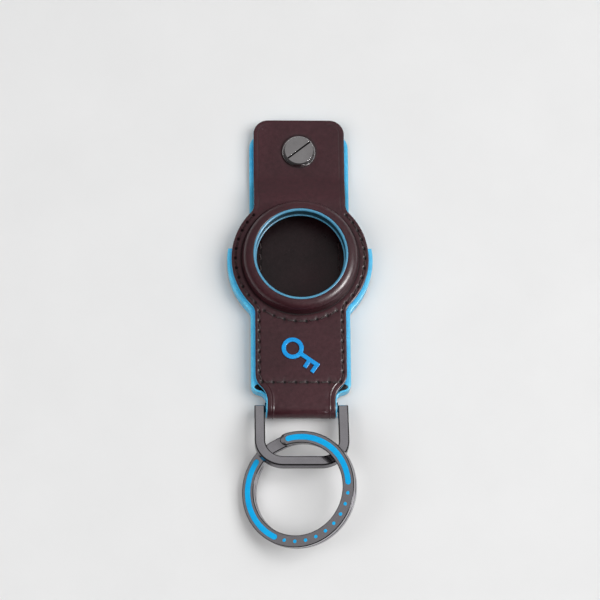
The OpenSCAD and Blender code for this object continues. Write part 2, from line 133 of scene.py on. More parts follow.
def shoulder(w, neck, y, h, d):
    a = 2 * math.degrees(math.atan((w - neck) / 2 / h))
    r = h / math.sin(math.radians(a)) / 2
    return np.vstack([
        arc((w / 2 - r, y), r + d, 0, -a, BEND_STEPS),
        arc((neck / 2 + r, y - h), r - d, 180 - a, 180, BEND_STEPS)[1:],
    ])


def lower_side(w, neck, r, y, h, start, d):
    a, x, cy = join(w, r)
    return np.vstack([
        arc((0, 0), r + d, start, -a, DISC_STEPS),
        arc((x, -cy), JOIN_R - d, 180 - a, 180, BEND_STEPS)[1:],
        shoulder(w, neck, y, h, d),
    ])


def upper_side(w, r, top, end, d):
    a, x, cy = join(w, r)
    corner = (w / 2 - TAB_CORNER_R, top - TAB_CORNER_R)
    return np.vstack([
        arc(corner, TAB_CORNER_R + d, 90, 0, TAB_STEPS),
        arc((x, cy), JOIN_R - d, 180, 180 + a, BEND_STEPS),
        arc((0, 0), r + d, a, end, DISC_STEPS // 2)[1:],
    ])


def step_angle(r, d):
    return math.degrees(math.asin((STEP_Y + d) / (r + d)))


def front_lower(d):
    return lower_side(LOW_W, NECK_W, DISC_R, -SHOULDER_Y, SHOULDER_H, 0, d)


def front_side(d):
    return np.vstack([upper_side(TAB_W, DISC_R, TAB_REACH, 0, d), front_lower(d)[1:]])


def wide_lower(d):
    top = NECK_Y + REAR_SHOULDER_H
    return lower_side(REAR_LOW_W, REAR_NECK_W, WIDE_R, top, REAR_SHOULDER_H, step_angle(WIDE_R, d), d)


def rear_upper(d):
    return upper_side(REAR_TAB_W, REAR_DISC_R, REAR_REACH, step_angle(REAR_DISC_R, d), d)


def rear_side(d):
    return np.vstack([rear_upper(d), wide_lower(d)])


def rear_s(y):
    """Where a point of the rear panel lies along the flat layout."""
    return 2 * BAR_Y - FOLD_LEN - y


def strap_side(d):
    """The right-hand side of the whole strap, laid out flat: x, and s, which falls towards the rear tab."""
    front = front_side(d)
    rear = rear_side(d)[::-1]
    turned = np.linspace(0, 1, FOLD_STEPS)
    fold = np.column_stack([NECK_W / 2 + d + NECK_MARGIN * turned, BAR_Y - FOLD_LEN * turned])
    return np.vstack([front, fold, np.column_stack([rear[:, 0], rear_s(rear[:, 1])])])


def lengths(legs):
    return np.linalg.norm(legs, axis=1)


def spread_counts(points, step):
    return np.maximum(1, np.ceil(lengths(np.diff(points, axis=0)) / step)).astype(int)


def spread(points, counts):
    """Extra points on each leg, so that lines at different distances keep the same number of them."""
    out = [points[:1]]
    for a, b, n in zip(points[:-1], points[1:], counts):
        t = np.linspace(0, 1, n + 1)[1:, None]
        out.append(a + (b - a) * t)
    return np.vstack(out)


def smooth(t):
    t = np.clip(t, 0, 1)
    return t * t * (3 - 2 * t)


def wrap(x, s, n):
    """Points of the flat layout, n above the leather's outer face, folded into their places in space."""
    x, s, n = np.broadcast_arrays(np.asarray(x, float), np.asarray(s, float), np.asarray(n, float))
    turn = np.clip((BAR_Y - s) / FOLD_R, 0, math.pi)
    front = s >= BAR_Y
    rear = s <= BAR_Y - FOLD_LEN
    y = np.where(front, s, np.where(rear, rear_s(s), BAR_Y - (FOLD_R + n) * np.sin(turn)))
    fall = TAB_FALL * smooth((s - BEND_Y) / BEND_LEN)
    z = np.where(front, FRONT_Z - fall + n, np.where(rear, -n, MID_Z + (FOLD_R + n) * np.cos(turn)))
    return np.column_stack([x, y, z])


# Meshes

def make_mesh(name, verts, faces, attributes=None):
    """A smooth mesh from points in millimetres; an attribute holds one number for each point."""
    mesh = bpy.data.meshes.new(name)
    mesh.from_pydata((np.asarray(verts, float) * MM).tolist(), [], [list(map(int, f)) for f in faces])
    for key, values in (attributes or {}).items():
        layer = mesh.attributes.new(key, "FLOAT", "POINT")
        layer.data.foreach_set("value", np.asarray(values, np.float32))
    smooth_faces(mesh)
    return mesh


def turn_outwards(mesh):
    """Faces turned outwards on a closed shell."""
    bm = bmesh.new()
    bm.from_mesh(mesh)
    bmesh.ops.recalc_face_normals(bm, faces=bm.faces)
    if bm.calc_volume(signed=True) < 0:
        bmesh.ops.reverse_faces(bm, faces=bm.faces)
    bm.to_mesh(mesh)
    bm.free()


def smooth_faces(mesh):
    mesh.polygons.foreach_set("use_smooth", [True] * len(mesh.polygons))
    mesh.update()


def place_object(name, data):
    obj = bpy.data.objects.new(name, data)
    bpy.context.scene.collection.objects.link(obj)
    return obj


def new_piece(name, verts, faces, body, slot, material, replaces=(), sharp=None, attributes=None):
    """A piece from points in millimetres, at its place in space."""
    mesh = make_mesh(name, verts, faces, attributes)
    turn_outwards(mesh)
    if sharp:
        mesh.set_sharp_from_angle(angle=math.radians(sharp))
    mesh.materials.append(material)
    finish_piece(place_object(name, mesh), body, replaces)


def finish_piece(obj, body, replaces=()):
    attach(obj, body)
    if replaces:
        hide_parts(*replaces)
    return obj


def bridge(a, b, count, closed=True):
    """Quads between two rows of points that start at the indices a and b."""
    last = count if closed else count - 1
    return [(a + i, a + (i + 1) % count, b + (i + 1) % count, b + i) for i in range(last)]


def turns(steps):
    """Angles all the way round, in radians."""
    return np.arange(steps) * 2 * math.pi / steps


def revolve(profile, steps):
    """Turns a closed profile of (radius, height) about the Z axis."""
    a = turns(steps)
    verts = [np.column_stack([r * np.cos(a), r * np.sin(a), np.full(steps, z)]) for r, z in profile]
    faces = []
    for i in range(len(profile)):
        faces += bridge(i * steps, (i + 1) % len(profile) * steps, steps)
    return np.concatenate(verts), faces


MERGE_M = 2e-7
TINY_M = 1e-7
FLAT_ANGLE = math.radians(0.5)
BEVEL_ANGLE = math.radians(35)
BEVEL_SEGMENTS = 3


def bevelled_copy(name, node, body, material, width):
    """A CAD node's own shape with its sharp edges rounded off."""
    bm = bmesh.new()
    bm.from_mesh(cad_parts[node].data)
    bmesh.ops.remove_doubles(bm, verts=bm.verts, dist=MERGE_M)
    bmesh.ops.dissolve_degenerate(bm, edges=bm.edges, dist=TINY_M)
    bmesh.ops.dissolve_limit(
        bm, angle_limit=FLAT_ANGLE, verts=bm.verts, edges=bm.edges, use_dissolve_boundaries=False
    )
    mesh = bpy.data.meshes.new(name)
    bm.to_mesh(mesh)
    bm.free()
    mesh.materials.clear()
    mesh.materials.append(material)
    smooth_faces(mesh)
    obj = place_object(name, mesh)
    bevel = obj.modifiers.new("Rounded edges", "BEVEL")
    bevel.width = width * MM
    bevel.segments = BEVEL_SEGMENTS
    bevel.limit_method = "ANGLE"
    bevel.angle_limit = BEVEL_ANGLE
    bevel.use_clamp_overlap = True
    bevel.miter_outer = "MITER_ARC"
    bevel.harden_normals = True
    return finish_piece(obj, body, (node,))


# Materials

def set_stops(node, stops):
    """A colour ramp's stops; a plain number is a grey."""
    elements = node.color_ramp.elements
    while len(elements) < len(stops):
        elements.new(0.5)
    for element, (position, value) in zip(elements, stops):
        element.position = position
        element.color = (*value, 1) if isinstance(value, tuple) else (value, value, value, 1)


class Nodes:
    """A material's node tree. Each short call adds one node and gives back its output."""

    def __init__(self, name):
        self.mat = bpy.data.materials.new(name)
        self.mat.use_nodes = True
        self.tree = self.mat.node_tree
        self.tree.nodes.clear()
        out = self.add("ShaderNodeOutputMaterial")
        self.shader = self.add("ShaderNodeBsdfPrincipled")
        self.feed(out.inputs["Surface"], self.shader.outputs["BSDF"])

    def add(self, kind, **settings):
        node = self.tree.nodes.new(kind)
        for key, value in settings.items():
            setattr(node, key, value)
        return node

    def feed(self, into, value):
        """Sets an input to a plain value, or links it to another node's output."""
        if isinstance(value, bpy.types.NodeSocket):
            self.tree.links.new(value, into)
        else:
            into.default_value = value

    def fill(self, node, **inputs):
        for key, value in inputs.items():
            self.feed(node.inputs[key.replace("_", " ")], value)
        return node

    def place(self, scale=(1, 1, 1), turn=0.0):
        where = self.add("ShaderNodeTexCoord").outputs["Object"]
        mapping = self.fill(self.add("ShaderNodeMapping"), Vector=where, Scale=scale, Rotation=(0, 0, turn))
        return mapping.outputs["Vector"]

    def noise(self, where, size, detail, rough=0.55):
        """Noise whose grains are about size millimetres across."""
        node = self.add("ShaderNodeTexNoise")
        self.fill(node, Vector=where, Scale=1 / (size * MM), Detail=detail, Roughness=rough)
        return node.outputs["Fac"]

    def cells(self, where, size, feature="F1"):
        node = self.add("ShaderNodeTexVoronoi", feature=feature)
        return self.fill(node, Vector=where, Scale=1 / (size * MM)).outputs["Distance"]

    def attribute(self, name):
        return self.add("ShaderNodeAttribute", attribute_name=name).outputs["Fac"]

    def ramp(self, source, *stops):
        node = self.fill(self.add("ShaderNodeValToRGB"), Fac=source)
        set_stops(node, stops)
        return node.outputs["Color"]

    def mix(self, a, b, mode="MULTIPLY"):
        node = self.add("ShaderNodeMix", data_type="RGBA", blend_type=mode)
        for place, value in ((0, 1.0), (6, a), (7, b)):
            self.feed(node.inputs[place], value)
        return node.outputs[2]

    def bump(self, source, height, strength=0.5, onto=None):
        """A bump whose full stroke is height millimetres."""
        node = self.fill(self.add("ShaderNodeBump"), Height=source, Strength=strength, Distance=height * MM)
        if onto is not None:
            self.feed(node.inputs["Normal"], onto)
        return node.outputs["Normal"]

    def math(self, op, *values):
        node = self.add("ShaderNodeMath", operation=op)
        for into, value in zip(node.inputs, values):
            self.feed(into, value)
        return node.outputs["Value"]


def srgb(*levels):
    """A colour from 0-255 values as they look on a screen."""
    return tuple(((c / 255 + 0.055) / 1.055) ** 2.4 if c > 10 else c / 255 / 12.92 for c in levels)


def leather(name, dark, light, rough, grain, coat, ior):
    """Finished calf leather: fine pores, a slow change of tone at random, and painted shade where it is
    pressed in.
    """
    n = Nodes(name)
    where = n.place()
    slow = n.noise(where, size=14, detail=3)
    fine = n.noise(where, size=1.1, detail=6, rough=0.6)
    pores = n.cells(where, size=0.42)
    wrinkles = n.cells(where, size=1.0, feature="DISTANCE_TO_EDGE")
    painted_shade = n.attribute("painted_shade")
    colour = n.mix(n.ramp(slow, (0.32, dark), (0.7, light)), n.ramp(fine, (0.25, 0.72), (0.75, 1.12)))
    colour = n.mix(colour, n.ramp(pores, (0.0, 0.7), (0.35, 1.0)))
    # Painted shade: nearly black in the stitch holes, and darker along seams and creases and round the
    # screw's head
    colour = n.mix(colour, n.ramp(painted_shade, (0.0, 1.0), (1.0, 0.08)))
    gloss = n.ramp(fine, (0.3, rough - 0.05), (0.75, rough + 0.09))
    dull = n.ramp(painted_shade, (0.0, 0.0), (1.0, 0.6))
    bumps = n.bump(n.ramp(wrinkles, (0.0, 0.0), (0.22, 1.0)), 0.012 * grain, strength=0.6)
    bumps = n.bump(fine, 0.05 * grain, onto=bumps)
    bumps = n.bump(pores, 0.03 * grain, onto=bumps)
    n.fill(n.shader, Base_Color=colour, Roughness=n.mix(gloss, dull, "ADD"), Normal=bumps)
    n.fill(n.shader, IOR=ior, Coat_Weight=coat, Coat_Roughness=0.25, Coat_IOR=1.4)
    return n.mat


def painted(name, dark, light, rough, lump=0.06, coat=0.0, speck=0.9, ior=1.5):
    """Paint or enamel laid on thick, with slow lumps and a little dust in it."""
    n = Nodes(name)
    where = n.place()
    slow = n.noise(where, size=3.2, detail=3)
    dust = n.noise(where, size=0.35, detail=5, rough=0.6)
    colour = n.mix(n.ramp(slow, (0.3, dark), (0.7, light)), n.ramp(dust, (0.3, speck), (0.7, 1.06)))
    gloss = n.ramp(dust, (0.3, rough), (0.75, rough + 0.12))
    bumps = n.bump(dust, 0.012, onto=n.bump(slow, lump))
    n.fill(n.shader, Base_Color=colour, Roughness=gloss, Normal=bumps)
    n.fill(n.shader, IOR=ior, Coat_Weight=coat, Coat_Roughness=0.12)
    return n.mat


def gunmetal(name, dark, light, rough, brushed=(1, 1, 1)):
    """Plated dark metal: polished, with fine brushing, faint blotches, scratches, and painted shade at the
    corners and walls that the edge attribute marks.
    """
    n = Nodes(name)
    blotch = n.noise(n.place(), size=5, detail=4)
    brush = n.noise(n.place(brushed), size=0.5, detail=6, rough=0.65)
    scratch = n.cells(n.place((0.25, 2.2, 1), 0.6), size=1.8, feature="DISTANCE_TO_EDGE")
    # Painted shade: the colour falls to a tenth where the edge attribute is one
    painted_edge_shade = n.ramp(n.attribute("edge"), (0.0, 1.0), (1.0, 0.1))
    colour = n.mix(n.ramp(blotch, (0.3, dark), (0.7, light)), painted_edge_shade)
    gloss = n.ramp(brush, (0.3, rough - 0.02), (0.7, rough + 0.02))
    lines = n.ramp(scratch, (0.0, 0.04), (0.012, 0.0))
    n.fill(n.shader, Base_Color=colour, Roughness=n.mix(gloss, lines, "ADD"), Normal=n.bump(brush, 0.0006))
    n.fill(n.shader, Metallic=1.0)
    return n.mat


def thread(name, dark, light):
    """Waxed twisted thread: the strands show as slanting ridges along each stitch, with painted shade in the
    grooves between them and painted light on their tops.
    """
    n = Nodes(name)
    slant = n.math("ADD", n.attribute("along"), n.attribute("round"))
    strands = n.math("SINE", n.math("MULTIPLY", slant, 6 * math.pi))
    fuzz = n.noise(n.place(), size=0.12, detail=3)
    # Painted shade and light: the colour follows the strands' ridges, dark in the grooves and light on the
    # tops
    colour = n.mix(n.ramp(strands, (0.0, dark), (1.0, light)), n.ramp(fuzz, (0.3, 0.75), (0.7, 1.15)))
    bumps = n.bump(fuzz, 0.02, onto=n.bump(strands, 0.05, strength=0.7))
    n.fill(n.shader, Base_Color=colour, Normal=bumps, Roughness=0.7, Sheen_Weight=0.1)
    return n.mat


LEATHER = leather("Burgundy calf", srgb(55, 22, 29), srgb(67, 29, 37), 0.36, grain=0.6, coat=0.15, ior=1.45)
LINING = leather("Dark lining", srgb(24, 9, 12), srgb(34, 15, 19), 0.32, grain=0.7, coat=0.0, ior=1.42)
EDGE_PAINT = painted("Blue edge paint", srgb(74, 190, 236), srgb(98, 208, 246), 0.32, lump=0.08, coat=0.15)
# The rims' paint is a darker, greyer copy of the edge paint: painted shade
RIM_PAINT_SHADED = painted("Shaded blue rim paint", srgb(76, 150, 186), srgb(90, 162, 196), 0.34, lump=0.08, coat=0.1)
# The window's inner wall is blue paint coloured dark teal: painted shade
RIM_SHADE = painted("Rim wall painted shade", srgb(20, 58, 72), srgb(30, 78, 94), 0.4)
CORE = painted("Stiff core", srgb(40, 38, 40), srgb(56, 52, 54), 0.5)
ENAMEL = painted("Blue enamel", srgb(2, 172, 240), srgb(10, 184, 248), 0.3, lump=0.02, speck=0.97, ior=1.35)
EMBLEM = painted("Blue emblem", srgb(4, 146, 222), srgb(14, 160, 234), 0.25, 0.02, 0.1, speck=0.97, ior=1.4)
THREAD = thread("Waxed thread", srgb(36, 15, 18), srgb(58, 30, 33))
GUNMETAL = gunmetal("Gunmetal", srgb(174, 171, 176), srgb(184, 181, 186), 0.2)
BRUSHED = gunmetal("Brushed gunmetal", srgb(166, 163, 164), srgb(178, 175, 176), 0.14, brushed=(0.15, 3, 1))
# Painted shade for the faces inside the screw's slot
SLOT_SHADE_METAL = gunmetal("Slot painted shade", srgb(40, 38, 40), srgb(52, 50, 52), 0.4)


# Strap: one skin of leather all round, with its pressed seams, and the bezel moulded up out of it

LOOP_STEP = 0.3
GRID_STEP = 1.2
GRID_SHIFT = 0.2
GRID_HALF_W = 21
INNER_D = -2.24
FILLET_R = 18.25
BEZEL_STEPS = 288
POST_HOLE_R = 2.57
POST_HOLE_STEPS = 48
REAR_HEAD_R = 5.1
REAR_HEAD_DEEP = 0.86
SEAM_STEPS = 30
FRONT_RING_STEPS, REAR_RING_STEPS = 90, 120
SEAM_MARK_STEP = 0.1
LINE_MARK_STEP = 0.12
CREASE_INSET = 1.5
CREASE_TOP_Y, CREASE_SIDE_X = 15, 9
RIDGE_INSET = 1.85
RIDGE_TOP_Y, RIDGE_END_S = SEAM_Y + 1, BAR_Y - FOLD_LEN - 3
FLIP = np.array([-1.0, 1.0])

# Marks pressed into the leather, each with its depth and its width
SEAM_DENT = (0.14, 0.4)
HOLE_DENT = (0.36, 0.36)
CREASE_DENT = (0.05, 0.2)
RIDGE_DENT = (-0.13, 0.13)
BESIDE_RIDGE, BESIDE_DENT = 0.34, (0.08, 0.16)
HEAD_SEAT_R, HEAD_DENT = 5.3, (0.1, 0.7)
GRAIN_DEEP, GRAIN_MORE = 0.01, 0.05
# Painted shade in the pressed places: how dark it is, how wide the dark is, and how steeply it ends
HOLE_SHADE = (1.0, 0.5, 4)
SEAM_SHADE = (0.2, 0.4)
CREASE_SHADE = (0.3, 0.2)
HEAD_SHADE_R, HEAD_SHADE = 5.2, (0.5, 0.35)


def loop_corners(d):
    right = strap_side(d)
    return np.vstack([right, right[::-1] * FLIP, right[:1]])


LOOP_COUNTS = spread_counts(loop_corners(-SEAM_INSET), LOOP_STEP)


def whole_loop(d):
    """The whole strap's outline, grown by d, with the same number of points for any d."""
    return spread(loop_corners(d), LOOP_COUNTS)[:-1]


def path_length(path):
    return np.concatenate([[0], np.cumsum(lengths(np.diff(path, axis=0)))])


def along_path(path, where):
    """Points and directions at given lengths along a path."""
    run = path_length(path)
    k = np.clip(np.searchsorted(run, where, side="right") - 1, 0, len(path) - 2)
    leg = path[k + 1] - path[k]
    leg = leg / lengths(leg)[:, None]
    return path[k] + leg * (np.asarray(where) - run[k])[:, None], leg


def seam_marks(path):
    """Centres and directions of a seam's stitches, and the holes between them."""
    total = path_length(path)[-1]
    count = int(total // STITCH_PITCH)
    centres, directions = along_path(path, (np.arange(count) + 0.5) * total / count)
    holes, _ = along_path(path, np.linspace(0, total * (1 - 1e-6), count + 1))
    return centres, directions, holes


side = front_lower(-SEAM_INSET)
side_path = side[side[:, 1] > SEAM_Y]
upper_path = arc((0, 0), DISC_R - SEAM_INSET, 0, join(TAB_W, DISC_R)[0], SEAM_STEPS)
arc_turn = math.degrees(math.asin((LOW_W / 2 - SEAM_INSET - STITCH_PITCH / 2) / ARC_SEAM_R))
arc_path = arc((0, 0), ARC_SEAM_R, -90 - arc_turn, -90 + arc_turn, SEAM_STEPS)
bottom_path = np.array([[-side_path[-1, 0], SEAM_Y], [side_path[-1, 0], SEAM_Y]])

front_paths = {
    "side_stitches": [side_path, side_path * FLIP],
    "upper_stitches": [upper_path, upper_path * FLIP],
    "arc_stitches": [arc_path],
    "bottom_stitches": [bottom_path],
}
rear_paths = [side_path, side_path * FLIP, bottom_path]


def to_rear(path):
    return np.column_stack([path[:, 0], rear_s(path[:, 1])])


def marks_along(path, step):
    return along_path(path, np.arange(0, path_length(path)[-1], step))[0]


seam_paths = sum(front_paths.values(), []) + [to_rear(p) for p in rear_paths]
seam_points = np.vstack([marks_along(path, SEAM_MARK_STEP) for path in seam_paths])
hole_points = np.vstack([seam_marks(path)[2] for path in seam_paths])

# Lines pressed into the tab's sides, and ridges left between the hollows along the neck's sides
crease_points = marks_along(whole_loop(-CREASE_INSET), LINE_MARK_STEP)
at_tab = (crease_points[:, 1] > CREASE_TOP_Y) & (np.abs(crease_points[:, 0]) > CREASE_SIDE_X)
crease_points = crease_points[at_tab]
ridge_points = marks_along(whole_loop(-RIDGE_INSET), LINE_MARK_STEP)
at_neck = (ridge_points[:, 1] < RIDGE_TOP_Y) & (ridge_points[:, 1] > RIDGE_END_S)
ridge_points = ridge_points[at_neck]


def distance_to(points, targets):
    tree = KDTree(len(targets))
    for i, (x, s) in enumerate(targets):
        tree.insert((x, s, 0), i)
    tree.balance()
    return np.array([tree.find((x, s, 0))[2] for x, s in points])


def bell(distance, height, width, power=2):
    return height * np.exp(-((distance / width) ** power))


def soft_waves(x, s):
    """Slow hills and hollows of real leather, between 0 and 1."""
    a = np.sin(x * 0.31 + 1.3) * np.sin(s * 0.23 + 0.4)
    b = np.sin(x * 0.83 + s * 0.37) * 0.5
    c = np.sin(s * 1.07 - x * 0.59 + 2.0) * 0.3
    return (a + b + c + 1.8) / 3.6


def skin_height(layout):
    """Height of the leather's face at points of the flat layout, and the painted shade in its holes, seams
    and creases and round the screw's head.
    """
    x, s = layout[:, 0], layout[:, 1]
    seam = distance_to(layout, seam_points)
    hole = distance_to(layout, hole_points)
    crease = distance_to(layout, crease_points)
    ridge = distance_to(layout, ridge_points)
    screw = np.hypot(x, s - SCREW_Y)
    n = -GRAIN_DEEP - GRAIN_MORE * soft_waves(x, s)
    n -= bell(seam, *SEAM_DENT) + bell(hole, *HOLE_DENT) + bell(crease, *CREASE_DENT)
    n -= bell(ridge, *RIDGE_DENT) + bell(ridge - BESIDE_RIDGE, *BESIDE_DENT)
    n -= bell(np.maximum(screw - HEAD_SEAT_R, 0), *HEAD_DENT)
    # Painted shade in the stitch holes, seams and creases, and round the edge of the screw's head
    painted_shade = bell(hole, *HOLE_SHADE) + bell(seam, *SEAM_SHADE) + bell(crease, *CREASE_SHADE)
    painted_shade += bell(np.maximum(screw - HEAD_SHADE_R, 0), *HEAD_SHADE)
    rear_head = np.hypot(x, s - rear_s(SCREW_Y)) < REAR_HEAD_R
    return np.where(rear_head, -REAR_HEAD_DEEP, n), np.clip(painted_shade, 0, 1)


def inside(points, polygon):
    """Whether points lie within a closed polygon, by counting the sides crossed."""
    x, y = points[:, 0], points[:, 1]
    found = np.zeros(len(points), bool)
    for (x0, y0), (x1, y1) in zip(polygon, np.roll(polygon, -1, axis=0)):
        if y0 == y1:
            continue
        crosses = (y0 > y) != (y1 > y)
        found ^= crosses & (x < (x1 - x0) * (y - y0) / (y1 - y0) + x0)
    return found


SEAM_OFFSETS = (-0.5, -0.36, -0.24, -0.12, 0, 0.12, 0.24, 0.36, 0.5)
FRONT_HEAD_RINGS = (4.9, 5.3, 5.7, 6.2)
REAR_HEAD_RINGS = (REAR_HEAD_R - 0.02, REAR_HEAD_R + 0.1, REAR_HEAD_R + 0.4)
ROOM_BY_SEAM, ROOM_BY_EDGE = 0.6, 0.22
# A triangle whose middle is less than this inside a hole stays, so slivers line the bezel's opening
ROOM_IN_HOLE = -0.0118
MERGE = 1e-5
REAR_SCREW_S = rear_s(SCREW_Y)
# Each hole's place along the strap, its radius and its number of points
HOLES = [(0, FILLET_R, BEZEL_STEPS)] + [(s, POST_HOLE_R, POST_HOLE_STEPS) for s in (SCREW_Y, REAR_SCREW_S)]


def circle_at(y, r, steps):
    a = turns(steps)
    return np.column_stack([r * np.cos(a), y + r * np.sin(a)])


def seam_rows(path):
    """Rows of points beside a seam, so that its groove keeps its form."""
    at, leg = along_path(path, np.arange(0, path_length(path)[-1], LOOP_STEP))
    across = np.column_stack([-leg[:, 1], leg[:, 0]])
    return np.vstack([at + across * offset for offset in SEAM_OFFSETS])


def clear_of_holes(points, room):
    clear = np.ones(len(points), bool)
    for y, r, _ in HOLES:
        clear &= np.hypot(points[:, 0], points[:, 1] - y) > r + room
    return clear


def fill_layout():
    """Triangles over the flat layout: first the innermost row's points, then the holes', then loose ones."""
    border = whole_loop(INNER_D)
    chains = [border] + [circle_at(*hole) for hole in HOLES]
    across = np.arange(-GRID_HALF_W, GRID_HALF_W + 0.1, GRID_STEP)
    gx, gs = np.meshgrid(across, np.arange(rear_s(TAB_REACH), TAB_REACH, GRID_STEP))
    grid = np.column_stack([gx.ravel(), gs.ravel()])
    grid = grid + rng.uniform(-GRID_SHIFT, GRID_SHIFT, grid.shape)
    rows = [seam_rows(p) for p in (arc_path, bottom_path, to_rear(bottom_path))]
    rows += [circle_at(SCREW_Y, r, FRONT_RING_STEPS) for r in FRONT_HEAD_RINGS]
    rows += [circle_at(REAR_SCREW_S, r, REAR_RING_STEPS) for r in REAR_HEAD_RINGS]
    special = np.vstack(rows)
    loose = np.vstack([special, grid[distance_to(grid, special) > ROOM_BY_SEAM]])
    keep = inside(loose, border) & (distance_to(loose, border) > ROOM_BY_EDGE)
    loose = loose[keep & clear_of_holes(loose, ROOM_BY_EDGE)]
    points = np.vstack([*chains, loose])
    edges, start = [], 0
    for chain in chains:
        edges += [quad[:2] for quad in bridge(start, start, len(chain))]
        start += len(chain)
    found = delaunay_2d_cdt([Vector(p) for p in points], edges, [], 0, MERGE)
    triangles = np.array(found[2])
    middle = np.array([v[:] for v in found[0]])[triangles].mean(axis=1)
    keep = inside(middle, border) & clear_of_holes(middle, ROOM_IN_HOLE)
    return len(border), points, triangles[keep].tolist()


# Rows in from the edge, and how far the leather rolls down at each
EDGE_ROWS = [(-0.03, -0.46), (-0.05, -0.34), (-0.1, -0.22), (-0.18, -0.13), (-0.3, -0.06), (-0.46, -0.02)]
FLAT_ROWS = (0.66, 0.85, 1.0, 1.13, SEAM_INSET, 1.38, 1.5, 1.64, 1.75, 1.85, 1.95, 2.06)
EDGE_ROWS += [(-inset, 0) for inset in FLAT_ROWS]
LOW_EDGE = -0.55


# The bezel's foot, as radii and heights over the front panel, and the painted shade in its crease at each
# row
BEZEL_FOOT = [
    (18.06, -0.06), (17.9, -0.13), (17.76, -0.17), (17.68, -0.1),
    (17.64, 0.1), (17.58, 0.5), (17.47, 1.0), (17.35, 1.5),
]
FOOT_SHADE = (0.15, 0.5, 0.9, 0.8, 0.35, 0.1, 0.0)
CREST_STEPS, UNDER_STEPS = 14, 8
# The lip's rounded edge: places outwards from its rim and down from its top
LIP_EDGE = [(0.2, 0.0), (0.05, 0.05), (0.0, 0.2)]


def bezel_profile():
    outside = [(r, FRONT_Z + z) for r, z in BEZEL_FOOT]
    centre = (POCKET_R + LEATHER_T - BEZEL_R, BEZEL_Z - BEZEL_R)
    crest = arc(centre, BEZEL_R, 0, 90, CREST_STEPS).tolist()
    lip = [(LIP_R + out, BEZEL_Z - down) for out, down in LIP_EDGE] + [(LIP_R, CORE_Z)]
    under = arc(centre, BEZEL_R - LEATHER_T, 90, 0, UNDER_STEPS).tolist()
    return outside + crest + lip + under + [(POCKET_R, FRONT_Z - LEATHER_T)]


def strap_skin():
    n_border, layout, triangles = fill_layout()
    verts, painted_shade, faces = [], [], []

    def add(points, dark):
        start = sum(len(v) for v in verts)
        verts.append(points)
        painted_shade.append(np.broadcast_to(dark, len(points)).astype(float))
        return start

    n, dark = skin_height(layout)
    top = add(wrap(layout[:, 0], layout[:, 1], n), dark)
    bottom = add(wrap(layout[:, 0], layout[:, 1], -LEATHER_T), 0.0)
    faces += [tuple(top + i for i in t) for t in triangles]
    faces += [tuple(bottom + i for i in t[::-1]) for t in triangles]
    row = top
    for d, roll in EDGE_ROWS[::-1]:
        loop = whole_loop(d)
        n, dark = skin_height(loop)
        here = add(wrap(loop[:, 0], loop[:, 1], n + roll), dark)
        faces += bridge(row, here, n_border)
        row = here
    loop = whole_loop(-PAINT_T)
    for depth in (LOW_EDGE, -LEATHER_T):
        here = add(wrap(loop[:, 0], loop[:, 1], depth), 0.0)
        faces += bridge(row, here, n_border)
        row = here
    faces += bridge(row, bottom, n_border)

    start = n_border + BEZEL_STEPS
    for _ in range(2):
        faces += bridge(top + start, bottom + start, POST_HOLE_STEPS)
        start += POST_HOLE_STEPS

    turn = turns(BEZEL_STEPS)
    row = top + n_border
    for k, (r, z) in enumerate(bezel_profile()):
        outer = 4 < k < len(BEZEL_FOOT) + CREST_STEPS
        soft = 0.02 * np.sin(3 * turn + 0.7) + 0.014 * np.sin(7 * turn + 0.35 * k)
        rr = r - np.abs(soft) * outer
        # Painted shade in the crease round the bezel's foot
        dark = FOOT_SHADE[min(k, len(FOOT_SHADE) - 1)]
        here = add(np.column_stack([rr * np.cos(turn), rr * np.sin(turn), np.full(BEZEL_STEPS, z)]), dark)
        faces += bridge(row, here, BEZEL_STEPS)
        row = here
    faces += bridge(row, bottom + n_border, BEZEL_STEPS)
    return np.vstack(verts), faces, np.concatenate(painted_shade)


verts, faces, painted_shade = strap_skin()
marks = {"painted_shade": painted_shade}
new_piece("strap_skin", verts, faces, "holder", "leather", LEATHER, ("strap_leather",), attributes=marks)


# Painted edges

PATH_STEP = 0.4
MARGIN_STEP = 0.5


def strip(rows, closed_path):
    """A closed band: rows of points along a path, each joined to the next and the last to the first."""
    n = len(rows[0])
    faces = []
    for k in range(len(rows)):
        faces += bridge(k * n, (k + 1) % len(rows) * n, n, closed_path)
    if not closed_path:
        faces.append(tuple(k * n for k in range(len(rows))))
        faces.append(tuple(k * n + n - 1 for k in range(len(rows)))[::-1])
    return np.vstack(rows), faces


def both_sides(verts, faces):
    mirrored = verts * (-1, 1, 1)
    count = len(verts)
    return np.vstack([verts, mirrored]), faces + [tuple(i + count for i in f[::-1]) for f in faces]


LUMP_SEED, LUMP_LEN, LUMP_H = 11, 41, 0.035


def lumps(count):
    """A slow unevenness along a path, never negative."""
    noise = np.random.default_rng(LUMP_SEED).normal(size=count)
    kernel = np.hanning(LUMP_LEN)
    soft = np.convolve(np.tile(noise, 3), kernel / kernel.sum(), "same")[count:2 * count]
    soft = soft - soft.min()
    return LUMP_H * soft / soft.max()


# The paint's section as insets and heights over the leather's face; its first rows are higher at the neck
PAINT_PROFILE = [
    (-0.3, -0.55), (-0.06, -0.47), (-0.015, -0.53), (0.0, -0.7), (0.0, -1.6), (-0.04, -1.78), (-0.12, -1.88),
    (-0.3, -1.9), (-0.3, -1.2),
]
LIFTED_ROWS = 4
NECK_PAINT_W, NECK_PAINT_H = 0.2, 0.3
NECK_PAINT_DROP = 5.5
NECK_FADE, FOLD_FADE = 2.5, 3
TEST_STEP = 0.1


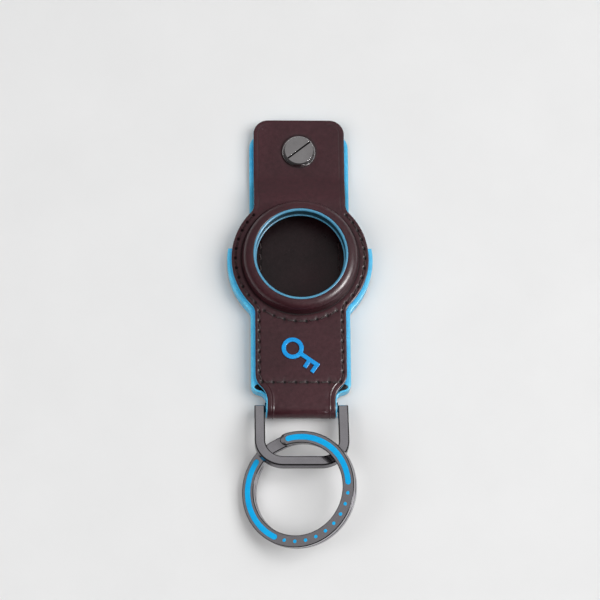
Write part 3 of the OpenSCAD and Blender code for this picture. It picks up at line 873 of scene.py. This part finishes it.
def strap_paint():
    """Paint on the strap's edges. It is thicker at the neck, where it shows as a line on each side."""
    rows = []
    for k, (d, n) in enumerate(PAINT_PROFILE):
        loop = whole_loop(d)
        inwards = (whole_loop(d - TEST_STEP) - loop) / TEST_STEP
        s = loop[:, 1]
        neck = smooth((-s - SHOULDER_Y - NECK_PAINT_DROP) / NECK_FADE)
        neck = neck * smooth((s - BAR_Y + FOLD_LEN) / FOLD_FADE)
        thick = (NECK_PAINT_W * neck - lumps(len(loop))) * (0 < k < len(PAINT_PROFILE) - 2)
        moved = loop - inwards * thick[:, None]
        rows.append(wrap(moved[:, 0], moved[:, 1], n + NECK_PAINT_H * neck * (k < LIFTED_ROWS)))
    return strip(rows, True)


new_piece("strap_paint", *strap_paint(), "holder", "edge_paint", EDGE_PAINT, ("strap_edge_paint",))


def fixed_spread(paths, step):
    """The same extra points on several paths that run beside one another."""
    counts = spread_counts(paths[0], step)
    return [spread(p, counts) for p in paths]


def flat_band(path_at, profile, base, step):
    """A band on both sides along a path that each row of the profile insets and lifts."""
    paths = fixed_spread([path_at(d) for d, _ in profile], step)
    rows = [np.column_stack([p, np.full(len(p), base + z)]) for p, (_, z) in zip(paths, profile)]
    return both_sides(*strip(rows, False))


# Paint over the rear tab's margin, which stands out past the front tab
MARGIN_PROFILE = [(-0.03, -0.04), (-0.06, 0.02), (-0.15, 0.045), (-1.7, 0.04), (-1.7, -0.01), (-0.28, -0.02)]
verts, faces = flat_band(rear_upper, MARGIN_PROFILE, PLY_T, MARGIN_STEP)
new_piece("margin_paint", verts, faces, "holder", "edge_paint", EDGE_PAINT)

GUSSET_END = BAR_Y + 2.1
GUSSET_TOP = (0.35, 1.5)
# On the shoulder the paint covers only this much of the gusset's top, and a sheet of painted shadow lies
# inside it
SHOULDER_TOP = -38.7
SHOULDER_PAINT = 0.62
SHOULDER_POINTS = 17
GUSSET_Z = PLY_T + GUSSET_T
# The gusset paint's section: insets, and heights over the gusset's underside, then from its top
LOW_GUSSET = [(-0.28, 0.01), (-0.1, 0.03), (-0.03, 0.15), (0.0, 0.5), (-0.01, 1.5)]
HIGH_GUSSET = [
    (0.0, -0.5), (-0.02, -0.18), (-0.09, -0.04), (-0.24, 0.02),
    (-0.7, 0.035), (-2.4, 0.03), (-2.4, -0.01), (-0.3, -0.1),
]
WAVY_ROWS, WAVE_H, WAVE_ALONG, WAVE_ACROSS = range(3, 6), 0.02, 1.7, 0.9


def gusset_path(d):
    """The gusset's edge on the right: its straight top by the pocket, then the wide outline down."""
    lower = wide_lower(d)
    lower[:, 1] = np.maximum(lower[:, 1], GUSSET_END)
    top = [(POCKET_R + out, STEP_Y + d) for out in GUSSET_TOP]
    return np.vstack([top, lower])


def shoulder_path(d):
    return gusset_path(d)[-SHOULDER_POINTS:]


def gusset_paint():
    profile = [(d, PLY_T + z) for d, z in LOW_GUSSET] + [(d, GUSSET_Z + z) for d, z in HIGH_GUSSET]
    insets = [d for d, _ in profile] + [-SHOULDER_PAINT]
    *paths, narrow = fixed_spread([gusset_path(d) for d in insets], PATH_STEP)
    bare = smooth(SHOULDER_TOP - narrow[:, 1:])
    rows = []
    for k, (path, (d, z)) in enumerate(zip(paths, profile)):
        if d < -SHOULDER_PAINT:
            path = path + (narrow - path) * bare
        wave = WAVE_H * np.sin(path[:, 1] * WAVE_ALONG + path[:, 0] * WAVE_ACROSS + k)
        rows.append(np.column_stack([path, z + wave * (k in WAVY_ROWS)]))
    return both_sides(*strip(rows, False))


new_piece("gusset_paint", *gusset_paint(), "holder", "edge_paint", EDGE_PAINT, ("gusset_edge_paint",))

# A sheet of painted shadow on each shoulder: near-black leather laid on the gusset's top, where the gap
# between the two halves of the strap is in shade
SHADOW_SHEET_PROFILE = [(-0.52, 0.01), (-2.4, 0.01), (-2.4, -0.03), (-0.52, -0.03)]
verts, faces = flat_band(shoulder_path, SHADOW_SHEET_PROFILE, GUSSET_Z, PATH_STEP)
marks = {"painted_shade": np.ones(len(verts))}
new_piece("shoulder_hollow", verts, faces, "holder", "leather", LEATHER, attributes=marks)

# The window's rims: a bead of paint at the top, a wall coloured dark as painted shade, and a second bead at
# its foot. Both beads take the darker rim paint, also painted shade
RIM_STEPS = 240
RIM_WAVE = 0.012
WINDOW_PROFILE = [
    (14.22, 10.9), (14.22, 11.38), (14.13, 11.47), (14.0, 11.5), (13.84, 11.48),
    (13.66, 11.4), (13.54, 11.26), (13.48, 11.08), (13.5, 10.9), (13.8, 10.8),
]
WALL_PROFILE = [
    (13.5, 10.95), (13.56, 10.2), (13.56, 8.6), (13.5, 7.6),
    (13.73, 7.6), (13.73, 10.3), (14.1, 10.95),
]
LOWER_PROFILE = [
    (13.74, 7.2), (13.34, 7.2), (13.22, 7.26), (13.15, 7.38),
    (13.18, 7.52), (13.3, 7.61), (13.5, 7.66), (13.74, 7.66),
]
for name, profile, material, nodes in (
    ("window_rim", WINDOW_PROFILE, RIM_PAINT_SHADED, ("window_rim_paint",)),
    ("rim_wall", WALL_PROFILE, RIM_SHADE, ()),
    ("lower_rim", LOWER_PROFILE, RIM_PAINT_SHADED, ("lower_rim_paint",)),
):
    verts, faces = revolve(profile, RIM_STEPS)
    angle = np.arctan2(verts[:, 1], verts[:, 0])
    verts[:, 2] -= RIM_WAVE * (1 + np.sin(5 * angle + 1.1) * np.sin(3 * angle))
    new_piece(name, verts, faces, "holder", "edge_paint", material, nodes)


# Stitches: one bent thread laid by geometry nodes at each place of a seam

STITCH_HALF = 1.04
STITCH_ROWS, STITCH_AROUND = 23, 10
THREAD_HALF_W, THREAD_HALF_H = 0.27, 0.21
THREAD_DEEP, THREAD_DIVE, DIVE_FROM, DIVE_POWER = 0.08, 0.55, 0.55, 1.6
THINNER, THIN_POWER = 0.25, 3
THREAD_SLANT = 0.09
UNEVEN = (0.2, 0.5, 1.0)
UNEVENNESS = 0.07
REAR_SEAM_Z = 0.2


def stitch_thread():
    """A waxed thread that comes up out of one hole and goes down the next, along X."""
    verts, along, round_it, faces = [], [], [], []
    for t in np.linspace(-1, 1, STITCH_ROWS):
        dive = (max(0, abs(t) - DIVE_FROM) / (1 - DIVE_FROM)) ** DIVE_POWER
        y, z = THREAD_SLANT * math.sin(t * math.pi / 2), -THREAD_DEEP - THREAD_DIVE * dive
        thick = 1 - THINNER * abs(t) ** THIN_POWER
        for a in turns(STITCH_AROUND):
            around = (y + THREAD_HALF_W * thick * math.cos(a), z + THREAD_HALF_H * thick * math.sin(a))
            verts.append((STITCH_HALF * t, *around))
            along.append(STITCH_HALF * t)
            round_it.append(a / (2 * math.pi))
    last = (STITCH_ROWS - 1) * STITCH_AROUND
    for start in range(0, last, STITCH_AROUND):
        faces += bridge(start, start + STITCH_AROUND, STITCH_AROUND)
    faces += [range(STITCH_AROUND), range(last, last + STITCH_AROUND)[::-1]]
    mesh = make_mesh("stitch", verts, faces, {"along": along, "round": round_it})
    turn_outwards(mesh)
    return place_object("stitch", mesh)


def seam_tree():
    """Sets a thread on every point, turned by the points' own angle, a little unevenly."""
    tree = bpy.data.node_groups.new("Seam", "GeometryNodeTree")
    inputs = {"Geometry": "Geometry", "Stitch": "Object", "Material": "Material"}
    inputs |= {"Unevenness": "Float", "Seed": "Int"}
    for name, kind in inputs.items():
        tree.interface.new_socket(name, in_out="INPUT", socket_type="NodeSocket" + kind)
    tree.interface.new_socket("Geometry", in_out="OUTPUT", socket_type="NodeSocketGeometry")
    node = tree.nodes.new
    enter, leave = node("NodeGroupInput"), node("NodeGroupOutput")
    points, info = node("GeometryNodeMeshToPoints"), node("GeometryNodeObjectInfo")
    lay, real = node("GeometryNodeInstanceOnPoints"), node("GeometryNodeRealizeInstances")
    paint, turn = node("GeometryNodeSetMaterial"), node("GeometryNodeInputNamedAttribute")
    uneven = node("FunctionNodeRandomValue")
    scaled, total = node("ShaderNodeVectorMath"), node("ShaderNodeVectorMath")
    turn.data_type = uneven.data_type = "FLOAT_VECTOR"
    turn.inputs["Name"].default_value = "turn"
    uneven.inputs[0].default_value = [-most for most in UNEVEN]
    uneven.inputs[1].default_value = UNEVEN
    scaled.operation, total.operation = "SCALE", "ADD"
    for a, out, b, into in (
        (enter, "Geometry", points, "Mesh"),
        (enter, "Stitch", info, "Object"),
        (enter, "Seed", uneven, "Seed"),
        (uneven, 0, scaled, 0),
        (enter, "Unevenness", scaled, "Scale"),
        (turn, "Attribute", total, 0),
        (scaled, 0, total, 1),
        (points, "Points", lay, "Points"),
        (info, "Geometry", lay, "Instance"),
        (total, 0, lay, "Rotation"),
        (lay, "Instances", real, "Geometry"),
        (real, "Geometry", paint, "Geometry"),
        (enter, "Material", paint, "Material"),
        (paint, "Geometry", leave, "Geometry"),
    ):
        tree.links.new(a.outputs[out], b.inputs[into])
    return tree


def lay_seam(name, places, headings, stitch, tree, seed, nodes):
    mesh = make_mesh(name + "_places", places, [])
    layer = mesh.attributes.new("turn", "FLOAT_VECTOR", "POINT")
    layer.data.foreach_set("vector", np.asarray(headings, np.float32).ravel())
    holder = place_object(name + "_places", mesh)
    seam = holder.modifiers.new("Seam", "NODES")
    seam.node_group = tree
    values = {"Stitch": stitch, "Material": THREAD, "Unevenness": UNEVENNESS, "Seed": seed}
    for item in tree.interface.items_tree:
        if item.in_out == "INPUT" and item.name in values:
            seam[item.identifier] = values[item.name]
    graph = bpy.context.evaluated_depsgraph_get()
    laid = bpy.data.meshes.new_from_object(holder.evaluated_get(graph), depsgraph=graph)
    laid.name = name
    bpy.data.objects.remove(holder)
    finish_piece(place_object(name, laid), "holder", nodes)


def seam_places(paths, z, below):
    """Where the stitches of some paths go; below turns them over for the back face."""
    places, headings = [], []
    for path in paths:
        centres, directions, _ = seam_marks(path)
        for (x, y), (dx, dy) in zip(centres, directions):
            places.append((x, y, z))
            headings.append((math.pi if below else 0, 0, math.atan2(dy, dx)))
    return places, headings


stitch = stitch_thread()
tree = seam_tree()
inner_x = POCKET_R - INNER_SEAM_INSET
inner_path = np.array([[inner_x, INNER_SEAM_LEN / 2], [inner_x, -INNER_SEAM_LEN / 2]])
seams = [(node, paths, FRONT_Z, False) for node, paths in front_paths.items()]
seams.append(("rear_stitches", rear_paths, REAR_SEAM_Z, True))
seams.append(("inner_stitches", [inner_path, inner_path * FLIP], PLY_T, False))
for seed, (node, paths, z, below) in enumerate(seams):
    places, headings = seam_places(paths, z, below)
    lay_seam(node + "_thread", places, headings, stitch, tree, SEED + seed, (node,))
bpy.data.objects.remove(stitch)


# Finishes of the CAD's own pieces that are shown as they are

for node, material in (("strap_lining", LINING), ("gusset", LEATHER), ("bezel_core", CORE)):
    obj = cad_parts[node]
    obj.data.materials.clear()
    obj.data.materials.append(material)


# Metal, and the enamel let into it

DEE_LEN, DEE_ARM, DEE_T, DEE_CORNER_R, DEE_RISE = 20.2, 3.1, 2.4, 8.5, 5.74
DEE_SIDE_GAP, DEE_END, FIT_CLEAR = 0.4, 0.2, 0.06
RING_D, RING_W, RING_T, TURN_GAP = 34.8, 3.6, 3.0, 0.1
RING_OVER, RING_SIDE, RING_INTO = 0.1, -1.0, 10.9
END_ANGLE, RAMP_ANGLE, TIP_GAP_ANGLE = 110.0, 26.0, 3.0
ENAMEL_TURN, ENAMEL_W, DOT_COUNT = 97.0, 1.7, 9
TOP_BAR_GAP, LEFT_BAR_GAP = 3.0, 6.0
SLOT_W, SLOT_DEEP, SLOT_TURN, SCREW_FACE_R = 0.5, 0.6, 38.0, 4.32
SHARP = 40

DEE_OUT = REAR_NECK_W / 2 + DEE_SIDE_GAP + DEE_ARM
DEE_LIFT = math.asin(DEE_RISE / DEE_LEN)
BAR_R = LOOP_R - FIT_CLEAR
BOW_Y = BAR_Y - DEE_LEN * math.cos(DEE_LIFT)
BOW_TOP_Z = MID_Z + DEE_RISE + DEE_T / 2 * math.cos(DEE_LIFT)
RING_R = RING_D / 2
RING_MID_R = RING_R - RING_W / 2
RING_HANG = RING_R - RING_INTO
RING_REACH = RING_R + math.sqrt((RING_R - RING_W) ** 2 - RING_HANG ** 2)
TURN_T = (RING_T - TURN_GAP) / 2
RING_TOP = TURN_T + TURN_GAP / 2


def lean_over(extra):
    """How far the ring leans when it rests on the bow's top, with extra height between them."""
    return math.asin((BOW_TOP_Z + RING_OVER + extra) / RING_REACH)


flat_lean = lean_over(0)
RING_LEAN = lean_over(RING_T / 2 * (1 / math.cos(flat_lean) - math.cos(flat_lean)))
RING_Z = RING_R * math.sin(RING_LEAN) + RING_T / 2 * math.cos(RING_LEAN)
RAMP_TO = END_ANGLE + TIP_GAP_ANGLE
RAMP_FROM = RAMP_TO + RAMP_ANGLE
LOWER_END = RAMP_FROM + TIP_GAP_ANGLE

# Places on the split ring, in degrees run along the wire from its upper free end
MM_PER_DEGREE = math.radians(1) * RING_MID_R
TOP_FROM = math.degrees(math.asin(RING_W / 2 / RING_MID_R)) + TOP_BAR_GAP
LEFT_TO = END_ANGLE - RAMP_FROM + 360 - LEFT_BAR_GAP
TOP_BAR = (TOP_FROM, TOP_FROM + ENAMEL_TURN)
LEFT_BAR = (LEFT_TO - ENAMEL_TURN, LEFT_TO)
WIRE_RUN = (END_ANGLE - RAMP_FROM + 360, END_ANGLE - RAMP_TO + 360, END_ANGLE - LOWER_END + 720)


def dee_place(points):
    x, y, z = np.asarray(points, float).T
    c, s = math.cos(DEE_LIFT), math.sin(DEE_LIFT)
    return np.column_stack([x, BAR_Y + y * c + z * s, MID_Z - y * s + z * c])


def ring_place(points):
    x, y, z = np.asarray(points, float).T
    c, s = math.cos(RING_LEAN), math.sin(RING_LEAN)
    return np.column_stack([RING_SIDE + x * c - z * s, BOW_Y - RING_HANG + y, RING_Z + x * s + z * c])


def soft_box(w, h, r, steps, support=0.07):
    """The section of a flat bar with round corners; the points beside each corner keep its flats flat."""
    out = []
    for cx, cy, start in ((1, 1, 0), (-1, 1, 90), (-1, -1, 180), (1, -1, 270)):
        corner = arc((cx * (w / 2 - r), cy * (h / 2 - r)), r, start, start + 90, steps)
        to_next, to_last = arc((0, 0), support, start + 90, start + 180, 1)
        out += [corner[0] - to_next, *corner, corner[-1] + to_last]
    return np.array(out)


def corner_marks(steps):
    """One at the corner points of a soft box and nought beside them, in the same order: where the metal gets
    its painted shade.
    """
    return ([0.0] + [1.0] * (steps + 1) + [0.0]) * 4


def flat_path(points):
    """Side directions, to the right of travel, at each point of a flat path."""
    leg = np.gradient(points, axis=0)
    leg = leg / lengths(leg)[:, None]
    return np.column_stack([leg[:, 1], -leg[:, 0]])


def grid_band(grid):
    """Joins sections (one list of points for each place along a path) into a closed bar with flat ends."""
    grid = np.asarray(grid)
    return strip([grid[:, j] for j in range(grid.shape[1])], False)


DEE_EDGE_R, DEE_END_EDGE_R, DEE_EDGE_STEPS = 0.32, 0.26, 5
DEE_END_SHRINK = (0.3, 0.1, 0.03)
DEE_END_PLACES = (0, 0.06, 0.18, 0.4)
ARM_FROM, ARM_STEPS, CORNER_STEPS, BOW_STEPS = -0.7, 14, 26, 12
# Painted shade: the bow's side walls are marked darker than its flats, at these points of the section
WALL_POINTS, WALL_SHADE = [0, 15, 16, 31], 0.7


def dee_bow():
    x = DEE_OUT - DEE_ARM / 2
    cx, cy = DEE_OUT - DEE_CORNER_R, -(DEE_LEN - DEE_CORNER_R)
    r = DEE_CORNER_R - DEE_ARM / 2
    ends = [DEE_END - t for t in DEE_END_PLACES]
    straight = np.array([[-x, y] for y in np.concatenate([ends, np.linspace(ARM_FROM, cy, ARM_STEPS)[:-1]])])
    left = np.vstack([straight, arc((-cx, cy), r, 180, 270, CORNER_STEPS)])
    bottom = np.array([[t, cy - r] for t in np.linspace(-cx, cx, BOW_STEPS)[1:-1]])
    path = np.vstack([left, bottom, (left * FLIP)[::-1]])
    grid = []
    for k, (p, s) in enumerate(zip(path, flat_path(path))):
        end = min(k, len(path) - 1 - k)
        near = end < len(DEE_END_SHRINK)
        shrink = DEE_END_SHRINK[end] if near else 0
        edge_r = DEE_END_EDGE_R if near else DEE_EDGE_R
        section = soft_box(DEE_ARM - 2 * shrink, DEE_T - 2 * shrink, edge_r, DEE_EDGE_STEPS)
        grid.append([(p[0] + s[0] * u, p[1] + s[1] * u, w) for u, w in section])
    verts, faces = grid_band(grid)
    marks = np.array(corner_marks(DEE_EDGE_STEPS))
    marks[WALL_POINTS] = WALL_SHADE
    return verts, faces, np.repeat(marks, len(path))


# The bar's ends in the arms, as distances from the end and radii over the bar's own
BAR_FLARE = [(0.0, 0.12), (0.1, 0.02), (0.3, -0.03), (0.8, -0.04)]
BAR_PLACES, BAR_AROUND = 9, 40
BAR_SHORT, BAR_EVEN_FROM = 0.02, 2


def dee_bar():
    half = DEE_OUT - DEE_ARM - BAR_SHORT
    near = [(d - half, BAR_R + more) for d, more in BAR_FLARE]
    even = np.linspace(BAR_EVEN_FROM - half, half - BAR_EVEN_FROM, BAR_PLACES)
    middle = [(x, BAR_R + BAR_FLARE[-1][1]) for x in even]
    a = turns(BAR_AROUND)
    grid = [
        np.column_stack([np.full(BAR_AROUND, x), r * np.cos(a), r * np.sin(a)])
        for x, r in near + middle + [(-x, r) for x, r in near[::-1]]
    ]
    verts, faces = grid_band(grid)
    return verts, faces, np.zeros(len(verts))


for name, make, nodes in (("dee_bow", dee_bow, ("d_ring",)), ("dee_bar", dee_bar, ())):
    verts, faces, edge = make()
    new_piece(name, dee_place(verts), faces, "dee", "gunmetal", GUNMETAL, nodes, SHARP, {"edge": edge})


def bar_half_width(p, bar, half):
    """Half the width of a round-ended bar at a place along the wire."""
    beyond = max(bar[0] - p, p - bar[1], 0) * MM_PER_DEGREE
    return math.sqrt(max(half * half - beyond * beyond, 0))


def on_ring(p, section, z):
    """The section's points at a place along the wire, at the height z."""
    a = math.radians(END_ANGLE - p)
    return [((RING_MID_R + u) * math.cos(a), (RING_MID_R + u) * math.sin(a), z + w) for u, w in section]


WIRE_EDGE_R, WIRE_EDGE_STEPS, WIRE_SUPPORT = 0.22, 4, 0.05
GROOVE_LEAST, GROOVE_DEEP, GROOVE_CLEAR = 0.02, 0.14, 0.015
WIRE_STEP, WIRE_NEAR = 2.6, 0.05
WIRE_END_PLACES = (0, 0.03, 0.1, 0.2, 0.35, 0.55, 0.8, 1.1, 1.4, 1.7, 1.9)
BAR_END_PLACES = (-0.1, 0, 0.15, 0.3, 0.45, 0.58, 0.7, 0.78, 0.83, 0.86, 0.9)
RAMP_STEPS = 16
WIRE_SLIM, TIP_HALF_W = 0.01, 0.12


def wire_section(half, groove):
    """The wire's section, with the enamel's groove in its top face where groove is over nothing."""
    top = TURN_T / 2
    support = min(WIRE_SUPPORT, half * 0.1)
    box = soft_box(2 * half, TURN_T, min(WIRE_EDGE_R, half * 0.8), WIRE_EDGE_STEPS, support).tolist()
    g, deep = (min(groove, half * 0.6), GROOVE_DEEP) if groove > GROOVE_LEAST else (half * 0.3, 0.0)
    flat = [(g, top), (g - 0.01, top - deep), (-g + 0.01, top - deep), (-g, top)]
    quarter = len(box) // 4
    return box[:quarter] + flat + box[quarter:]


def wire_places():
    places = list(np.arange(0, WIRE_RUN[2], WIRE_STEP))
    for end in (0, WIRE_RUN[2]):
        places += [abs(end - t / MM_PER_DEGREE) for t in WIRE_END_PLACES]
    for first, last in (TOP_BAR, LEFT_BAR):
        places += [first - t / MM_PER_DEGREE for t in BAR_END_PLACES]
        places += [last + t / MM_PER_DEGREE for t in BAR_END_PLACES]
    places += list(np.linspace(WIRE_RUN[0] - 1, WIRE_RUN[1] + 1, RAMP_STEPS))
    places = np.unique(np.round(places, 3))
    return places[np.concatenate([[True], np.diff(places) > WIRE_NEAR])]


def wire():
    grid = []
    whole = RING_W / 2 - WIRE_SLIM
    for p in wire_places():
        run = min(p, WIRE_RUN[2] - p, whole / MM_PER_DEGREE) * MM_PER_DEGREE
        half = max(TIP_HALF_W, math.sqrt(max(whole ** 2 - (whole - run) ** 2, 0)))
        down = smooth((p - WIRE_RUN[0]) / (WIRE_RUN[1] - WIRE_RUN[0]))
        groove = max(bar_half_width(p, bar, ENAMEL_W / 2 + GROOVE_CLEAR) for bar in (TOP_BAR, LEFT_BAR))
        grid.append(on_ring(p, wire_section(half, groove), (TURN_T + TURN_GAP) / 2 * (1 - 2 * down)))
    return grid_band(grid)


ENAMEL_END_PLACES = (0.0, 0.2, 0.4, 0.58, 0.7, 0.78, 0.82)
ENAMEL_STEPS = 60
# The dome of an enamel bar, as shares of its half width and heights, and a drop's radii and heights
DOME_SIDE = [(1, -0.16), (0.99, -0.06), (0.93, -0.03)]
DOME_WAVE, BAR_TIP_HALF_W = 0.01, 0.05
DROP = [(0.01, 0.035), (0.25, 0.033), (0.42, 0.025), (0.52, 0.01), (0.55, -0.03), (0.5, -0.1), (0.01, -0.1)]
DROP_STEPS = 28


def enamel_bar(bar):
    ends = [t / MM_PER_DEGREE for t in ENAMEL_END_PLACES]
    places = [bar[0] - t for t in ends[::-1]] + list(np.linspace(*bar, ENAMEL_STEPS)[1:-1])
    grid = []
    for k, p in enumerate(places + [bar[1] + t for t in ends]):
        half = max(bar_half_width(p, bar, ENAMEL_W / 2), BAR_TIP_HALF_W)
        low = DOME_WAVE * math.sin(0.9 * k)
        side = DOME_SIDE + [(0.7, -0.015 + low)]
        dome = [(-u, w) for u, w in side] + [(0, low)] + side[::-1]
        grid.append(on_ring(p, [(u * half, w) for u, w in dome], RING_TOP))
    return grid_band(grid)


def enamel_spots():
    """Small drops of enamel between the bars."""
    verts, faces = [], []
    low, high = TOP_BAR[1], LEFT_BAR[0]
    for i in range(DOT_COUNT):
        start = len(verts)
        centre = on_ring(low + (high - low) * (i + 1) / (DOT_COUNT + 1), [(0, 0)], RING_TOP)[0]
        for r, z in DROP:
            verts += [np.add(centre, (r * math.cos(t), r * math.sin(t), z)) for t in turns(DROP_STEPS)]
        last = start + (len(DROP) - 1) * DROP_STEPS
        for row in range(start, last, DROP_STEPS):
            faces += bridge(row, row + DROP_STEPS, DROP_STEPS)
        faces += [range(start, start + DROP_STEPS), range(last, last + DROP_STEPS)[::-1]]
    return verts, faces


# Painted shade: at the upper free end the walls are dark too, and its tip is dark all over
TOP_FLAT = slice(7, 11)
NOSE_LEN, TIP_LEN = 1.5, 0.3
verts, faces = wire()
marks = corner_marks(WIRE_EDGE_STEPS)
marks = marks[:TOP_FLAT.start] + [0.0] * 4 + marks[TOP_FLAT.start:]
run = np.array(wire_places()) * MM_PER_DEGREE
edge = np.repeat(marks, len(run)).reshape(len(marks), -1)
nose = np.ones(len(marks))
nose[TOP_FLAT] = 0.0
edge[:, run < NOSE_LEN] = nose[:, None]
edge[:, run < TIP_LEN] = 1.0
verts, edge = ring_place(verts), {"edge": edge.ravel()}
new_piece("key_ring_wire", verts, faces, "key_ring", "gunmetal", GUNMETAL, ("split_ring",), SHARP, edge)
for name, shape, node in (
    ("enamel_bar_top", enamel_bar(TOP_BAR), "enamel_top"),
    ("enamel_bar_left", enamel_bar(LEFT_BAR), "enamel_left"),
    ("enamel_spots", enamel_spots(), "enamel_dots"),
):
    new_piece(name, ring_place(shape[0]), shape[1], "key_ring", "enamel", ENAMEL, (node,))


SLOT_SIDE_ROOM, SLOT_TOP_ROOM = 0.02, 0.05
SCREW_BEVEL, PLATE_BEVEL = 0.05, 0.15


def darken_slot(obj):
    """Painted shade inside the slot of the screw's head: its faces take a darker metal."""
    obj.data.materials.append(SLOT_SHADE_METAL)
    top = max(v.co.z for v in obj.data.vertices)
    turn = math.radians(SLOT_TURN)
    for face in obj.data.polygons:
        x, y = face.center.x / MM, face.center.y / MM - SCREW_Y
        across = abs(y * math.cos(turn) - x * math.sin(turn))
        down = (top - face.center.z) / MM
        in_slot = across < SLOT_W / 2 + SLOT_SIDE_ROOM and SLOT_TOP_ROOM < down < SLOT_DEEP + SLOT_TOP_ROOM
        if in_slot and math.hypot(x, y) < SCREW_FACE_R:
            face.material_index = 1


darken_slot(bevelled_copy("slotted_screw", "binding_screw", "screw", BRUSHED, SCREW_BEVEL))
bevelled_copy("flat_post", "screw_post", "post", BRUSHED, PLATE_BEVEL)
bevelled_copy("key_sign", "emblem", "holder", EMBLEM, PLATE_BEVEL)


# Floor, light and camera

FLOOR_HALF, FLOOR_ROWS, FLOOR_Z = 900, 24, -0.25
FLOOR_DARK, FLOOR_LIGHT = srgb(232, 232, 232), srgb(235, 235, 235)
LIGHT_TARGET = (0, -13, 0)
CAMERA_TILT_Y, CAMERA_TILT_X, CAMERA_ROLL = math.radians(15.92), math.radians(2.3), math.radians(0.55)
CAMERA_TARGET, CAMERA_DISTANCE, CAMERA_FIELD = (-0.2, -13.19, 6.8), 800, 180
SENSOR_W = 36
CLIP_M = (0.05, 20)
SKY_LEAN = (0.1, 0.55, 0.8)
SKY_STOPS = [(0.3, 0.04), (0.56, 0.11), (0.74, 0.29), (0.95, 0.46)]


def stage_floor():
    places = np.linspace(-FLOOR_HALF, FLOOR_HALF, FLOOR_ROWS + 1)
    verts = [(x, y, FLOOR_Z) for y in places for x in places]
    faces = []
    for row in range(0, FLOOR_ROWS * len(places), len(places)):
        faces += [face[::-1] for face in bridge(row + len(places), row, len(places), closed=False)]
    floor = make_mesh("floor", verts, faces)
    n = Nodes("Paper floor")
    shade = n.ramp(n.noise(n.place(), size=30, detail=3), (0.3, FLOOR_DARK), (0.7, FLOOR_LIGHT))
    n.fill(n.shader, Base_Color=shade, Roughness=0.9)
    floor.materials.append(n.mat)
    obj = place_object("floor", floor)


def stage_light(name, place, size, power, lights=True, shines=True):
    """A square light. It can be left out of what surfaces mirror, or only be seen mirrored in them."""
    data = bpy.data.lights.new(name, "AREA")
    data.size = size * MM
    data.energy = power
    obj = place_object(name, data)
    at = Vector(place) * MM
    aim = (Vector(LIGHT_TARGET) * MM - at).to_track_quat("-Z", "Y")
    obj.matrix_world = Matrix.Translation(at) @ aim.to_matrix().to_4x4()
    obj.visible_diffuse = lights
    obj.visible_glossy = shines


def stage_world():
    """A studio that is light overhead and behind the object, and dark in front of it."""
    world = bpy.data.worlds.new("Studio")
    bpy.context.scene.world = world
    world.use_nodes = True
    tree = world.node_tree
    tree.nodes.clear()
    node = tree.nodes.new
    out, back = node("ShaderNodeOutputWorld"), node("ShaderNodeBackground")
    coords, lean = node("ShaderNodeTexCoord"), node("ShaderNodeVectorMath")
    half, ramp = node("ShaderNodeMath"), node("ShaderNodeValToRGB")
    lean.operation, half.operation = "DOT_PRODUCT", "MULTIPLY_ADD"
    lean.inputs[1].default_value = SKY_LEAN
    half.inputs[1].default_value = half.inputs[2].default_value = 0.5
    set_stops(ramp, SKY_STOPS)
    for a, b, into in (
        (coords.outputs["Generated"], lean, 0),
        (lean.outputs["Value"], half, 0),
        (half.outputs["Value"], ramp, "Fac"),
        (ramp.outputs["Color"], back, "Color"),
        (back.outputs["Background"], out, "Surface"),
    ):
        tree.links.new(a, b.inputs[into])


def stage_camera():
    """A camera at the photograph's angle: it leans by the two tilts and turns by the roll."""
    view_x, view_y = -math.sin(CAMERA_TILT_X), -math.sin(CAMERA_TILT_Y)
    view = Vector((view_x, view_y, math.sqrt(1 - view_x ** 2 - view_y ** 2)))
    level = Vector((0, 1, 0)).cross(view).normalized()
    upright = view.cross(level)
    c, s = math.cos(CAMERA_ROLL), math.sin(CAMERA_ROLL)
    place = (Vector(CAMERA_TARGET) + CAMERA_DISTANCE * view) * MM
    data = bpy.data.cameras.new("Camera")
    data.sensor_width = SENSOR_W
    data.lens = SENSOR_W * CAMERA_DISTANCE / CAMERA_FIELD
    data.clip_start, data.clip_end = CLIP_M
    cam = place_object("Camera", data)
    columns = (*(level * c - upright * s), 0), (*(level * s + upright * c), 0), (*view, 0), (*place, 1)
    cam.matrix_world = Matrix(columns).transposed()
    bpy.context.scene.camera = cam


stage_floor()
stage_light("Key", (700, 40, 940), 900, power=9.4, shines=False)
stage_light("Fill", (-700, -360, 880), 800, power=4.5, shines=False)
stage_light("Gloss", (570, -190, 500), 250, power=10.5, lights=False)
stage_world()
stage_camera()
bpy.context.scene.view_settings.view_transform = "Standard"
